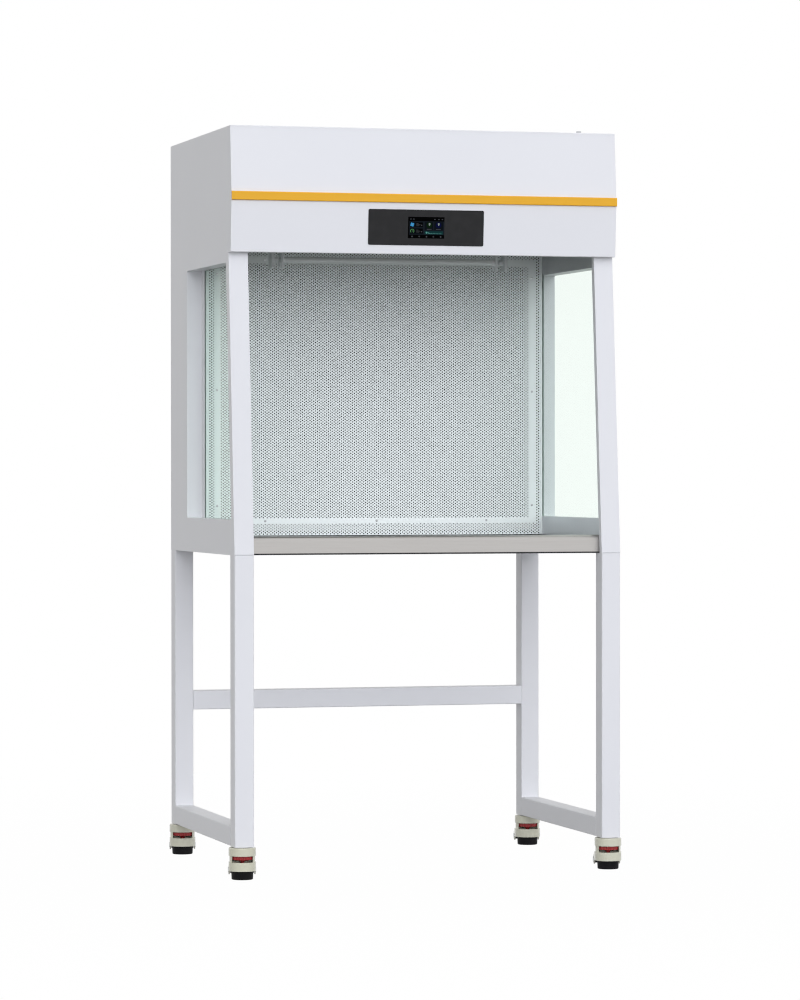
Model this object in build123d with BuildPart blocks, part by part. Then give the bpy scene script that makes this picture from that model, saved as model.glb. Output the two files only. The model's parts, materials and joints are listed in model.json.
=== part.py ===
from build123d import *
from math import cos, radians, sin
import os

os.makedirs("parts", exist_ok=True)

# Horizontal laminar flow hood on a wheeled stand, every separate piece as its own solid.
# Millimetres, +Z up. X runs left to right as the user faces the work opening, the front is at
# -Y, and the origin lies on the floor below the middle of the stand.

# ---- Driving dimensions -------------------------------------------------------------------
WIDTH = 1020  # over the legs and the side panels
DEPTH = 740  # over the legs, front to rear
HOOD_TOP = 1898
TUBE = 50  # square frame tube
TUBE_WALL = 2
TUBE_CORNER = 3
SHEET = 2  # painted sheet steel
FIT = 0.3  # gap between pieces that are slid together
RUNNING = 0.05  # radial clearance of a shaft in its bearing

HALF_W = WIDTH / 2
FRONT = -DEPTH / 2
REAR = DEPTH / 2

# ---- Stand --------------------------------------------------------------------------------
LEG_FOOT = 82  # underside of the legs, which is the height of the casters
STAND_TOP = 815
FOOT_BLOCK = 22  # solid end of a leg, which takes the caster's thread
CROSSBAR_LOW = 388

# ---- Side walls, posts and windows -----------------------------------------------------------
WALL = 46  # thickness of a side panel
INNER_X = HALF_W - WALL
POST_DEPTH = 18
POST_TOP = 1581
LEAN = 64 / 764  # how far the front edge of the walls leans back for each unit of height
FRONT_STRIP = 12  # panel in front of the window, behind the post
WINDOW_LOW = 904
WINDOW_HIGH = 1554
WINDOW_REAR = 172
WINDOW_CORNER = 4
GLASS = 5
REBATE = 3  # how far the pane reaches past the edge of the window

# ---- Worktop and floor of the cabinet ----------------------------------------------------------
WORK_TOP = 854
WORK_REAR = 141.5
STEEL = 1.5
NOSING_FRONT = -347
NOSING_LOW = 819
NOSING_TOP = 862  # the front edge stands above the tray
NOSING_DEPTH = 34
NOSING_BEND = 15
NOSING_LIP = 20  # folded back under the nosing
LEDGE_LOW = 830
RIBS = 5
RIB_WIDTH = 30
FILTER_REAR = 229

# ---- Front fascia ---------------------------------------------------------------------------
FASCIA_BOTTOM = (-330, 1579)  # (y, z) of the corners of its outer face
PROW_LOW = (-340, 1709)
PROW_HIGH = (-340, 1731)
FASCIA_TOP = (-325.4, 1893)
FASCIA_RETURN = 23.5
FASCIA_BEND = 1.5
STRIPE_PROUD = 6
STRIPE_BEND = 2.5
LID_DROP = 5  # height of the folded rim of the top cover
LID_EDGE = 2
LID_RIM = 30
INTAKE_Y = -130
INTAKE_W = 560
INTAKE_D = 250
SLOTS = 22
SLOT_W = 12
KNOB_X = 419
KNOB_Y = -305
KNOB_R = 6.5
KNOB_H = 6
KNOB_FLUTE_R = 1.2
COVER_SCREW_R = 5
COVER_SCREW_H = 2.4
COVER_SCREW_EDGE = 15
COVER_SCREW_END = 30

# ---- Control panel ---------------------------------------------------------------------------
PANEL_W = 306
PANEL_H = 91
PANEL_LIP = 3  # the bezel overlaps the cut-out in the fascia by this much
PANEL_PROUD = 1.5
PANEL_DEEP = 6
PANEL_CORNER = 4
PANEL_RISE = 2.6  # centre of the panel above the middle of the lower fascia
SCREEN_W = 96.4
SCREEN_H = 54.9
STUD_R = 3
STUD_LENGTH = 4
STUD_SPREAD = (260, 60)
BOARD = (280, 76, 1.6)
CHIP_DEEP = 8
CHIP_X = 85
CHIP_SIZE = 34
PLUG_SIZE = (50, 18)
PLUG_RISE = 12

# ---- Mains inlet -----------------------------------------------------------------------------
INLET_X = 380
INLET_Z = 900
INLET_W = 48
INLET_H = 28
INLET_FLANGE = 3
INLET_RIM = 5
INLET_DEEP = 26
SOCKET = (25, 17, 20)
PIN = (2, 5, 16)
PIN_X = 7
PIN_Z = 2.5

# ---- Filter and diffuser ---------------------------------------------------------------------
DIFFUSER_Y = 142
DIFFUSER_HALF = 458
DIFFUSER_LOW = 856
DIFFUSER_HIGH = 1616
DIFFUSER_SHEET = 1.2
DIFFUSER_FOLD = 8
SCREW_PITCH = 305.5
SCREW_COLUMN = 434
SCREW_ROW_LOW = 894.5
SCREW_ROW_HIGH = 1585.5
SCREW_HEAD_R = 4.5
SCREW_HEAD_H = 2
FILTER_FRONT = 160
FILTER_HALF = 458
FILTER_HIGH = 1614
FILTER_RAIL = 40
GASKET = 14
PLEATS = 58
PLEAT_INSET = 9  # the pack stays this far inside the frame's faces
PAPER = 9
PREFILTER_THICK = 12
PREFILTER_RIM = 15
PREFILTER_LIP = 10
DECK_Z = 1618

# ---- Blower -----------------------------------------------------------------------------------
BLOWER_Y = 215
BLOWER_Z = 1745
SCROLL_OUT = 130  # radius of the scroll where it leaves for the outlet
SCROLL_IN = 98  # and at the tongue
SCROLL_TURN = 300
SCROLL_HALF = 85
EYE_R = 70
IMPELLER_R = 90
BLADE_ROOT = 74
BLADES = 32
IMPELLER_HALF = 75
IMPELLER_HUB_R = 18
IMPELLER_HUB_HALF = 14
IMPELLER_RING = 2
SHAFT_R = 7
SHAFT_START = 20
EYE_FLARE = 8
MOTOR_X = 130
MOTOR_LENGTH = 96
MOTOR_R = 50
MOTOR_END = 8
FINS = 24
FIN_HIGH = 8
FIN_WIDE = 3
MOTOR_FOOT = (56, 100, 6)  # width of the stem, width and height of the base

# ---- Lamp -----------------------------------------------------------------------------------
LAMP_Y = 20
LAMP_Z = 1579
LAMP_R = 8
LAMP_HALF = 295
PIN_END = 302
PIN_SPREAD = 2.5
PIN_R = 1.2
HOLDER_INNER = (289, 295)
HOLDER_OUTER = (314, 322)
HOLDER_DEPTH = 36
HOLDER_LOW = 1555
HOLDER_ROOF = 10
HOLDER_CHAMFER = 4

# ---- Levelling casters, in the frame of one caster: front at -y, floor at z = 0 -----------------
CASTER_TURN = -12  # all four stand turned by this angle
DRUM_R = 34.5
DRUM_WAIST = 32.6
DRUM_LOW = 22
DRUM_HIGH = 80.5
DRUM_EDGE = 3
DRUM_BORE = 30.5
CAVITY_TOP = 62
SLIT = (44, 60)  # height of the window that shows the adjuster
SLIT_HALF = 26
STEM_LOW = 72
STEM_R = 8
COLLAR = (74.5, 77.5)
COLLAR_R = 11
FLANGE_R = 20
THREAD_R = 6
THREAD_SHORT = 4  # the thread ends this far below the top of its block
SCREW_R = 5
SCREW_TOP = 69
SCREW_FOOT = 9
ADJUSTER_R = 29
ADJUSTER = (50.5, 59)
ADJUSTER_HUB = 5
HUB_LOW_R = 8
HUB_HIGH_R = 10.5
FLUTES = 20
FLUTE_R = 2.6
PAD_HIGH = 21.5
PAD_R = 28
PAD_FOOT_R = 27
PAD_EDGE = 2
PAD_SLOT = 7.8  # where the slot for the wheel starts
PAD_REAR = 19
TRAIL = 31  # wheel axle behind the swivel axis
AXLE_Z = 21.5
AXLE_R = 4
AXLE_HEAD_R = 7
AXLE_HEAD = 1.3
WHEEL_R = 20.5
WHEEL_HALF = 13
WHEEL_DISH = 4
WHEEL_RIM = 5
HUB_R = 9
HUB_PLAY = 0.8
WHEEL_PLAY = 0.08
CHEEK = (30.6, 34.2)
CHEEK_FRONT = 6
CHEEK_SHOULDER = 14
LOBE_R = 12
FORK_FRONT = 12
WELL = (42.8, 44.3)  # plate above the wheel
WELL_LOW = 38
WELL_FRONT = 1.7


def wall_front(z):
    """Y of the front face of the posts at a height."""
    return FRONT + LEAN * (z - STAND_TOP)


def save(builder, name):
    builder.part.label = name
    export_step(builder.part, f"parts/{name}.step")


# ================================ Stand ========================================================
def leg(x, y):
    """Square tube with a solid foot that is drilled for the caster's thread."""
    with BuildPart() as tube:
        with BuildSketch(Plane.XY.offset(LEG_FOOT)):
            with Locations((x, y)):
                RectangleRounded(TUBE, TUBE, TUBE_CORNER)
        extrude(amount=STAND_TOP - LEG_FOOT)
        with BuildSketch(Plane.XY.offset(LEG_FOOT + FOOT_BLOCK)):
            with Locations((x, y)):
                Rectangle(TUBE - 2 * TUBE_WALL, TUBE - 2 * TUBE_WALL)
        extrude(amount=STAND_TOP, mode=Mode.SUBTRACT)
        with BuildSketch(Plane.XY.offset(LEG_FOOT)):
            with Locations((x, y)):
                Circle(THREAD_R + RUNNING)
        extrude(amount=FOOT_BLOCK, mode=Mode.SUBTRACT)
    return tube


LEG_X = HALF_W - TUBE / 2
LEG_Y = REAR - TUBE / 2
LEGS = {
    "front_left": (-LEG_X, -LEG_Y),
    "front_right": (LEG_X, -LEG_Y),
    "rear_left": (-LEG_X, LEG_Y),
    "rear_right": (LEG_X, LEG_Y),
}
for corner, (leg_x, leg_y) in LEGS.items():
    save(leg(leg_x, leg_y), f"leg_{corner}")


def square_tube(plane, length):
    """Tube centred on a plane's origin and reaching length / 2 to both sides of it."""
    with BuildPart() as tube:
        with BuildSketch(plane):
            RectangleRounded(TUBE, TUBE, TUBE_CORNER)
            Rectangle(TUBE - 2 * TUBE_WALL, TUBE - 2 * TUBE_WALL, mode=Mode.SUBTRACT)
        extrude(amount=length / 2, both=True)
    return tube


for side, sign in (("left", -1), ("right", 1)):
    rail_centre = (sign * LEG_X, 0, LEG_FOOT + TUBE / 2)
    rail_plane = Plane(origin=rail_centre, x_dir=(1, 0, 0), z_dir=(0, -1, 0))
    save(square_tube(rail_plane, DEPTH - 2 * TUBE), f"side_rail_{side}")

crossbar_centre = (0, LEG_Y, CROSSBAR_LOW + TUBE / 2)
crossbar_plane = Plane(origin=crossbar_centre, x_dir=(0, 1, 0), z_dir=(1, 0, 0))
save(square_tube(crossbar_plane, WIDTH - 2 * TUBE), "rear_crossbar")


# ================================ Posts, side panels and panes ==================================
def front_post(sign):
    """Leaning front post, over the front leg."""
    with BuildPart() as post:
        with BuildSketch(Plane.YZ.offset(sign * HALF_W)):
            with BuildLine():
                Polyline(
                    (wall_front(STAND_TOP), STAND_TOP),
                    (wall_front(STAND_TOP) + POST_DEPTH, STAND_TOP),
                    (wall_front(POST_TOP) + POST_DEPTH, POST_TOP),
                    (wall_front(POST_TOP), POST_TOP),
                    close=True,
                )
            make_face()
        extrude(amount=-sign * TUBE)
        fillet(post.faces().sort_by(Axis.Y)[0].edges().sort_by(SortBy.LENGTH)[-2:], TUBE_CORNER)
    return post


def window_outline(grow):
    """Corners of the window at a wall, made larger all round by grow."""
    low = WINDOW_LOW - grow
    high = WINDOW_HIGH + grow
    rear = WINDOW_REAR + grow
    front = POST_DEPTH + FRONT_STRIP - grow
    return [
        (rear, low),
        (rear, high),
        (wall_front(high) + front, high),
        (wall_front(low) + front, low),
    ]


def side_panel(sign):
    """Double-skinned side wall with a window and a rebate for the pane on its inner face."""
    inset = SHEET + FIT / 3
    with BuildPart() as panel:
        with BuildSketch(Plane.YZ.offset(sign * INNER_X)):
            with BuildLine():
                Polyline(
                    (REAR, STAND_TOP),
                    (wall_front(STAND_TOP) + POST_DEPTH, STAND_TOP),
                    (wall_front(POST_TOP) + POST_DEPTH, POST_TOP),
                    (FASCIA_BOTTOM[0] + inset, POST_TOP),
                    (PROW_LOW[0] + inset, PROW_LOW[1]),
                    (PROW_HIGH[0] + inset, PROW_HIGH[1]),
                    (FASCIA_TOP[0] + inset, FASCIA_TOP[1]),
                    (REAR, HOOD_TOP - LID_DROP),
                    close=True,
                )
            make_face()
        extrude(amount=sign * WALL)
        with BuildSketch(Plane.YZ.offset(sign * INNER_X)) as opening:
            with BuildLine():
                Polyline(*window_outline(0), close=True)
            make_face()
            fillet(opening.vertices(), WINDOW_CORNER)
        extrude(amount=sign * WALL, mode=Mode.SUBTRACT)
        with BuildSketch(Plane.YZ.offset(sign * INNER_X)):
            with BuildLine():
                Polyline(*window_outline(REBATE), close=True)
            make_face()
        extrude(amount=sign * GLASS, mode=Mode.SUBTRACT)
    return panel


def side_glass(sign):
    """Pane that sits in the rebate, flush with the inner face of the wall."""
    with BuildPart() as pane:
        with BuildSketch(Plane.YZ.offset(sign * INNER_X)):
            with BuildLine():
                Polyline(*window_outline(REBATE - FIT), close=True)
            make_face()
        extrude(amount=sign * GLASS)
    return pane


for side, sign in (("left", -1), ("right", 1)):
    save(front_post(sign), f"front_post_{side}")
    save(side_panel(sign), f"side_panel_{side}")
    save(side_glass(sign), f"side_glass_{side}")

# ================================ Worktop and cabinet floor =====================================
WORK_HALF = INNER_X - FIT
LIP_REAR = NOSING_FRONT + NOSING_DEPTH
TRAY_FRONT = LIP_REAR + NOSING_TOP - WORK_TOP  # the step down to the tray slopes at 45 degrees
MITRE = STEEL * (2**0.5 - 1)

with BuildPart() as worktop:
    with BuildSketch(Plane.YZ) as tray:
        with BuildLine():
            Polyline(
                (NOSING_FRONT, NOSING_LOW),
                (NOSING_FRONT, NOSING_TOP),
                (LIP_REAR, NOSING_TOP),
                (TRAY_FRONT, WORK_TOP),
                (WORK_REAR, WORK_TOP),
                (WORK_REAR, WORK_TOP - STEEL),
                (TRAY_FRONT - MITRE, WORK_TOP - STEEL),
                (LIP_REAR - MITRE, NOSING_TOP - STEEL),
                (NOSING_FRONT + STEEL, NOSING_TOP - STEEL),
                (NOSING_FRONT + STEEL, NOSING_LOW + STEEL),
                (NOSING_FRONT + NOSING_LIP, NOSING_LOW + STEEL),
                (NOSING_FRONT + NOSING_LIP, NOSING_LOW),
                close=True,
            )
        make_face()
        outer_bend = tray.vertices().sort_by_distance((NOSING_FRONT, NOSING_TOP))[0]
        fillet(outer_bend, NOSING_BEND)
        inner_corner = (NOSING_FRONT + STEEL, NOSING_TOP - STEEL)
        inner_bend = tray.vertices().sort_by_distance(inner_corner)[0]
        fillet(inner_bend, NOSING_BEND - STEEL)
    extrude(amount=WORK_HALF, both=True)
save(worktop, "worktop")

FLOOR_FRONT = NOSING_FRONT + STEEL + FIT
FLOOR_REAR = REAR - 2 * SHEET
RIB_FRONT = TRAY_FRONT
RIB_STEP = 2 * (WORK_HALF - RIB_WIDTH / 2) / (RIBS - 1)
LEDGE_FRONT = WORK_REAR + FIT  # channel behind the worktop that carries the filter
with BuildPart() as cabinet_floor:
    with BuildSketch(Plane.XY.offset(STAND_TOP)):
        with Locations((0, (FLOOR_FRONT + FLOOR_REAR) / 2)):
            Rectangle(2 * WORK_HALF, FLOOR_REAR - FLOOR_FRONT)
    extrude(amount=SHEET)
    with BuildSketch(Plane.XY.offset(STAND_TOP)):
        with Locations((0, (RIB_FRONT + FILTER_REAR) / 2)):
            with GridLocations(RIB_STEP, 1, RIBS, 1):
                Rectangle(RIB_WIDTH, FILTER_REAR - RIB_FRONT)
    extrude(amount=WORK_TOP - STEEL - STAND_TOP)
    with BuildSketch(Plane.YZ):
        with BuildLine():
            Polyline(
                (LEDGE_FRONT, WORK_TOP),
                (FILTER_REAR, WORK_TOP),
                (FILTER_REAR, LEDGE_LOW),
                (FILTER_REAR - STEEL, LEDGE_LOW),
                (FILTER_REAR - STEEL, WORK_TOP - STEEL),
                (LEDGE_FRONT + STEEL, WORK_TOP - STEEL),
                (LEDGE_FRONT + STEEL, LEDGE_LOW),
                (LEDGE_FRONT, LEDGE_LOW),
                close=True,
            )
        make_face()
    extrude(amount=WORK_HALF, both=True)
save(cabinet_floor, "cabinet_floor")

# ================================ Fascia, stripe and covers =====================================
with BuildPart() as front_fascia:
    with BuildSketch(Plane.YZ) as fold:
        with BuildLine():
            Polyline(
                FASCIA_BOTTOM,
                PROW_LOW,
                PROW_HIGH,
                FASCIA_TOP,
                (FASCIA_TOP[0] + SHEET, FASCIA_TOP[1]),
                (PROW_HIGH[0] + SHEET, PROW_HIGH[1]),
                (PROW_LOW[0] + SHEET, PROW_LOW[1]),
                (FASCIA_BOTTOM[0] + SHEET, FASCIA_BOTTOM[1] + SHEET),
                (FASCIA_BOTTOM[0] + FASCIA_RETURN, FASCIA_BOTTOM[1] + SHEET),
                (FASCIA_BOTTOM[0] + FASCIA_RETURN, FASCIA_BOTTOM[1]),
                close=True,
            )
        make_face()
        fillet(fold.vertices().sort_by_distance(FASCIA_BOTTOM)[0], FASCIA_BEND)
    extrude(amount=HALF_W, both=True)
    CUT_OUT = (PANEL_W - 2 * PANEL_LIP, PANEL_H - 2 * PANEL_LIP)
    face_rise = PROW_LOW[1] - FASCIA_BOTTOM[1]
    face_run = PROW_LOW[0] - FASCIA_BOTTOM[0]
    PANEL_PLANE = Plane(
        origin=(0, (FASCIA_BOTTOM[0] + PROW_LOW[0]) / 2, (FASCIA_BOTTOM[1] + PROW_LOW[1]) / 2),
        x_dir=(1, 0, 0),
        z_dir=(0, -face_rise, face_run),
    )
    with BuildSketch(PANEL_PLANE):
        with Locations((0, PANEL_RISE)):
            RectangleRounded(*CUT_OUT, PANEL_LIP)
    extrude(amount=2 * SHEET, both=True, mode=Mode.SUBTRACT)
save(front_fascia, "front_fascia")

with BuildPart() as fascia_stripe:
    with BuildSketch(Plane.YZ) as trim:
        with BuildLine():
            Polyline(
                PROW_LOW,
                (PROW_LOW[0] - STRIPE_PROUD, PROW_LOW[1]),
                (PROW_HIGH[0] - STRIPE_PROUD, PROW_HIGH[1]),
                PROW_HIGH,
                close=True,
            )
        make_face()
        fillet(trim.vertices().group_by(Axis.X)[0], STRIPE_BEND)
    extrude(amount=HALF_W, both=True)
save(fascia_stripe, "fascia_stripe")

LID_FRONT = FASCIA_TOP[0] - SHEET * 0.2
with BuildPart() as top_cover:
    with BuildSketch(Plane.XY.offset(HOOD_TOP - LID_DROP)):
        with Locations((0, (LID_FRONT + REAR) / 2)):
            Rectangle(WIDTH, REAR - LID_FRONT)
    extrude(amount=LID_DROP)
    fillet(top_cover.faces().sort_by(Axis.Z)[-1].edges(), LID_EDGE)
    with BuildSketch(Plane.XY.offset(HOOD_TOP - LID_DROP)):
        with Locations((0, (LID_FRONT + REAR) / 2)):
            Rectangle(WIDTH - 2 * WALL, REAR - LID_FRONT - 2 * LID_RIM)
    extrude(amount=LID_DROP - SHEET, mode=Mode.SUBTRACT)
    with BuildSketch(Plane.XY.offset(HOOD_TOP)):
        with Locations((0, INTAKE_Y)):
            with GridLocations(INTAKE_W / SLOTS, 1, SLOTS, 1):
                SlotOverall(INTAKE_D - LID_RIM, SLOT_W, rotation=90)
    extrude(amount=-LID_DROP, mode=Mode.SUBTRACT)
save(top_cover, "top_cover")

with BuildPart() as top_knob:
    with BuildSketch(Plane.XY.offset(HOOD_TOP)):
        with Locations((KNOB_X, KNOB_Y)):
            Circle(KNOB_R)
    extrude(amount=KNOB_H)
    fillet(top_knob.faces().sort_by(Axis.Z)[-1].edges(), KNOB_FLUTE_R)
    with BuildSketch(Plane.XY.offset(HOOD_TOP)):
        with Locations((KNOB_X, KNOB_Y)):
            with PolarLocations(KNOB_R + KNOB_FLUTE_R / 2, 12):
                Circle(KNOB_FLUTE_R)
    extrude(amount=KNOB_H, mode=Mode.SUBTRACT)
save(top_knob, "top_knob")

REAR_HALF = INNER_X - FIT
REAR_LOW = STAND_TOP
REAR_HIGH = HOOD_TOP - LID_DROP
with BuildPart() as rear_cover:
    with BuildSketch(Plane.XZ.offset(-REAR)):
        with Locations((0, (REAR_LOW + REAR_HIGH) / 2)):
            Rectangle(2 * REAR_HALF, REAR_HIGH - REAR_LOW)
        with Locations((INLET_X, INLET_Z)):
            Rectangle(INLET_W, INLET_H, mode=Mode.SUBTRACT)
    extrude(amount=SHEET)
save(rear_cover, "rear_cover")

SCREW_STEP_X = 2 * (REAR_HALF - COVER_SCREW_EDGE)
SCREW_STEP_Z = (REAR_HIGH - REAR_LOW - 2 * COVER_SCREW_END) / 4
with BuildPart() as cover_screws:
    with BuildSketch(Plane.XZ.offset(-REAR)):
        with Locations((0, (REAR_LOW + REAR_HIGH) / 2)):
            with GridLocations(SCREW_STEP_X, SCREW_STEP_Z, 2, 5):
                Circle(COVER_SCREW_R)
    extrude(amount=-COVER_SCREW_H)
    outer_faces = cover_screws.faces().filter_by(Axis.Y).group_by(Axis.Y)[-1]
    fillet(outer_faces.edges(), COVER_SCREW_H - 1)
save(cover_screws, "cover_screws")

PIN_PLACES = [
    (INLET_X, INLET_Z + PIN_Z),
    (INLET_X - PIN_X, INLET_Z - PIN_Z),
    (INLET_X + PIN_X, INLET_Z - PIN_Z),
]
with BuildPart() as mains_inlet:
    with BuildSketch(Plane.XZ.offset(-REAR)):
        with Locations((INLET_X, INLET_Z)):
            RectangleRounded(INLET_W + 2 * INLET_RIM, INLET_H + 2 * INLET_RIM, INLET_RIM - 1)
    extrude(amount=-INLET_FLANGE)
    with BuildSketch(Plane.XZ.offset(-REAR)):
        with Locations((INLET_X, INLET_Z)):
            RectangleRounded(INLET_W - 2 * FIT, INLET_H - 2 * FIT, INLET_FLANGE)
    extrude(amount=INLET_DEEP)
    with BuildSketch(Plane.XZ.offset(-REAR - INLET_FLANGE)):
        with Locations((INLET_X, INLET_Z)):
            RectangleRounded(SOCKET[0], SOCKET[1], INLET_RIM - 1)
    extrude(amount=SOCKET[2], mode=Mode.SUBTRACT)
    with BuildSketch(Plane.XZ.offset(SOCKET[2] - INLET_FLANGE - REAR)):
        with Locations(*PIN_PLACES):
            Rectangle(PIN[0], PIN[1])
    extrude(amount=-PIN[2])
save(mains_inlet, "mains_inlet")

# ================================ Control panel =================================================
with BuildPart() as control_panel:
    with BuildSketch(PANEL_PLANE):
        with Locations((0, PANEL_RISE)):
            RectangleRounded(PANEL_W, PANEL_H, PANEL_CORNER)
    extrude(amount=PANEL_PROUD)
    chamfer(control_panel.faces().sort_by(Axis.Y)[0].edges(), PANEL_PROUD / 3)
    with BuildSketch(PANEL_PLANE):
        with Locations((0, PANEL_RISE)):
            RectangleRounded(CUT_OUT[0] - FIT, CUT_OUT[1] - FIT, PANEL_LIP)
    extrude(amount=-PANEL_DEEP)
    with BuildSketch(PANEL_PLANE.offset(-PANEL_DEEP)):
        with Locations((0, PANEL_RISE)):
            with GridLocations(*STUD_SPREAD, 2, 2):
                Circle(STUD_R)
    extrude(amount=-STUD_LENGTH)
    with BuildSketch(PANEL_PLANE):
        with Locations((0, PANEL_RISE)):
            Rectangle(SCREEN_W + FIT, SCREEN_H + FIT)
    extrude(amount=2 * PANEL_DEEP, both=True, mode=Mode.SUBTRACT)
save(control_panel, "control_panel")

BOARD_FACE = -PANEL_DEEP - STUD_LENGTH
with BuildPart() as touch_screen:
    with BuildSketch(PANEL_PLANE.offset(BOARD_FACE)):
        with Locations((0, PANEL_RISE)):
            Rectangle(SCREEN_W, SCREEN_H)
    extrude(amount=PANEL_PROUD - BOARD_FACE)
save(touch_screen, "touch_screen")

with BuildPart() as control_board:
    with BuildSketch(PANEL_PLANE.offset(BOARD_FACE)):
        with Locations((0, PANEL_RISE)):
            Rectangle(BOARD[0], BOARD[1])
    extrude(amount=-BOARD[2])
    with BuildSketch(PANEL_PLANE.offset(BOARD_FACE - BOARD[2])):
        with Locations((-CHIP_X, PANEL_RISE), (CHIP_X, PANEL_RISE)):
            Rectangle(CHIP_SIZE, CHIP_SIZE)
        with Locations((0, PANEL_RISE + PLUG_RISE)):
            Rectangle(*PLUG_SIZE)
    extrude(amount=-CHIP_DEEP)
save(control_board, "control_board")

# ================================ Diffuser and filters ==========================================
with BuildPart() as diffuser:
    mid_z = (DIFFUSER_LOW + DIFFUSER_HIGH) / 2
    tall = DIFFUSER_HIGH - DIFFUSER_LOW
    with BuildSketch(Plane.XZ.offset(-DIFFUSER_Y)):
        with Locations((0, mid_z)):
            RectangleRounded(2 * DIFFUSER_HALF, tall, 1.5)
    extrude(amount=-DIFFUSER_FOLD)
    with BuildSketch(Plane.XZ.offset(-DIFFUSER_Y - DIFFUSER_SHEET)):
        with Locations((0, mid_z)):
            Rectangle(2 * DIFFUSER_HALF - 2 * DIFFUSER_SHEET, tall - 2 * DIFFUSER_SHEET)
    extrude(amount=-DIFFUSER_FOLD, mode=Mode.SUBTRACT)
save(diffuser, "diffuser")

mid_row = (SCREW_ROW_LOW + SCREW_ROW_HIGH) / 2
SCREW_PLACES = []
for step in (-1, 0, 1):
    SCREW_PLACES.append((step * SCREW_PITCH, SCREW_ROW_LOW))
    SCREW_PLACES.append((step * SCREW_PITCH, SCREW_ROW_HIGH))
    SCREW_PLACES.append((-SCREW_COLUMN, mid_row + step * SCREW_PITCH))
    SCREW_PLACES.append((SCREW_COLUMN, mid_row + step * SCREW_PITCH))
with BuildPart() as diffuser_screws:
    with BuildSketch(Plane.XZ.offset(-DIFFUSER_Y)):
        with Locations(*SCREW_PLACES):
            Circle(SCREW_HEAD_R)
    extrude(amount=SCREW_HEAD_H)
    head_faces = diffuser_screws.faces().filter_by(Axis.Y).group_by(Axis.Y)[0]
    fillet(head_faces.edges(), SCREW_HEAD_H * 0.6)
save(diffuser_screws, "diffuser_screws")

with BuildPart() as filter_frame:
    mid_filter = (WORK_TOP + FILTER_HIGH) / 2
    filter_tall = FILTER_HIGH - WORK_TOP
    with BuildSketch(Plane.XZ.offset(-FILTER_FRONT)):
        with Locations((0, mid_filter)):
            Rectangle(2 * FILTER_HALF, filter_tall)
            window = (2 * (FILTER_HALF - FILTER_RAIL), filter_tall - 2 * FILTER_RAIL)
            Rectangle(*window, mode=Mode.SUBTRACT)
    extrude(amount=-(FILTER_REAR - FILTER_FRONT))
save(filter_frame, "filter_frame")

with BuildPart() as filter_gasket:
    with BuildSketch(Plane.XZ.offset(-DIFFUSER_Y - DIFFUSER_FOLD)):
        with Locations((0, mid_filter)):
            Rectangle(2 * FILTER_HALF, filter_tall)
            window = (2 * (FILTER_HALF - GASKET), filter_tall - 2 * GASKET)
            Rectangle(*window, mode=Mode.SUBTRACT)
    extrude(amount=-(FILTER_FRONT - DIFFUSER_Y - DIFFUSER_FOLD))
save(filter_gasket, "filter_gasket")

MEDIA_HALF = FILTER_HALF - FILTER_RAIL
MEDIA_FRONT = FILTER_FRONT + PLEAT_INSET
MEDIA_REAR = FILTER_REAR - PLEAT_INSET
with BuildPart() as filter_media:
    pleat = 2 * MEDIA_HALF / PLEATS
    front_folds = []
    rear_folds = []
    for fold_number in range(PLEATS + 1):
        fold_x = -MEDIA_HALF + fold_number * pleat
        fold_y = MEDIA_FRONT if fold_number % 2 == 0 else MEDIA_REAR - PAPER
        front_folds.append((fold_x, fold_y))
        rear_folds.append((fold_x, fold_y + PAPER))
    with BuildSketch(Plane.XY.offset(WORK_TOP + FILTER_RAIL)):
        with BuildLine():
            Polyline(*front_folds, *reversed(rear_folds), close=True)
        make_face()
    extrude(amount=filter_tall - 2 * FILTER_RAIL)
save(filter_media, "filter_media")

PREFILTER_SIZE = (INTAKE_W + 2 * PREFILTER_RIM, INTAKE_D + 2 * PREFILTER_RIM)
PREFILTER_OPEN = (INTAKE_W - 2 * PREFILTER_LIP, INTAKE_D - 2 * PREFILTER_LIP)
with BuildPart() as prefilter_frame:
    with BuildSketch(Plane.XY.offset(HOOD_TOP - SHEET)):
        with Locations((0, INTAKE_Y)):
            Rectangle(*PREFILTER_SIZE)
            Rectangle(INTAKE_W, INTAKE_D, mode=Mode.SUBTRACT)
    extrude(amount=-PREFILTER_THICK)
    with BuildSketch(Plane.XY.offset(HOOD_TOP - SHEET - PREFILTER_THICK)):
        with Locations((0, INTAKE_Y)):
            Rectangle(*PREFILTER_SIZE)
            Rectangle(*PREFILTER_OPEN, mode=Mode.SUBTRACT)
    extrude(amount=-SHEET)
save(prefilter_frame, "prefilter_frame")

with BuildPart() as prefilter_pad:
    with BuildSketch(Plane.XY.offset(HOOD_TOP - SHEET)):
        with Locations((0, INTAKE_Y)):
            Rectangle(INTAKE_W - 2 * FIT, INTAKE_D - 2 * FIT)
    extrude(amount=-PREFILTER_THICK)
save(prefilter_pad, "prefilter_pad")

# ================================ Ceiling deck and blower =======================================
TONGUE_Y = BLOWER_Y + SCROLL_IN * cos(radians(SCROLL_TURN))
DECK_FRONT = FASCIA_BOTTOM[0] + FASCIA_RETURN
DECK_REAR = REAR - 2 * SHEET
OUTLET = (TONGUE_Y, BLOWER_Y + SCROLL_OUT)
with BuildPart() as ceiling_deck:
    with BuildSketch(Plane.XY.offset(DECK_Z)):
        with Locations((0, (DECK_FRONT + DECK_REAR) / 2)):
            Rectangle(2 * (INNER_X - FIT), DECK_REAR - DECK_FRONT)
        with Locations((0, (OUTLET[0] + OUTLET[1]) / 2)):
            Rectangle(2 * SCROLL_HALF, OUTLET[1] - OUTLET[0], mode=Mode.SUBTRACT)
    extrude(amount=SHEET)
save(ceiling_deck, "ceiling_deck")


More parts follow.
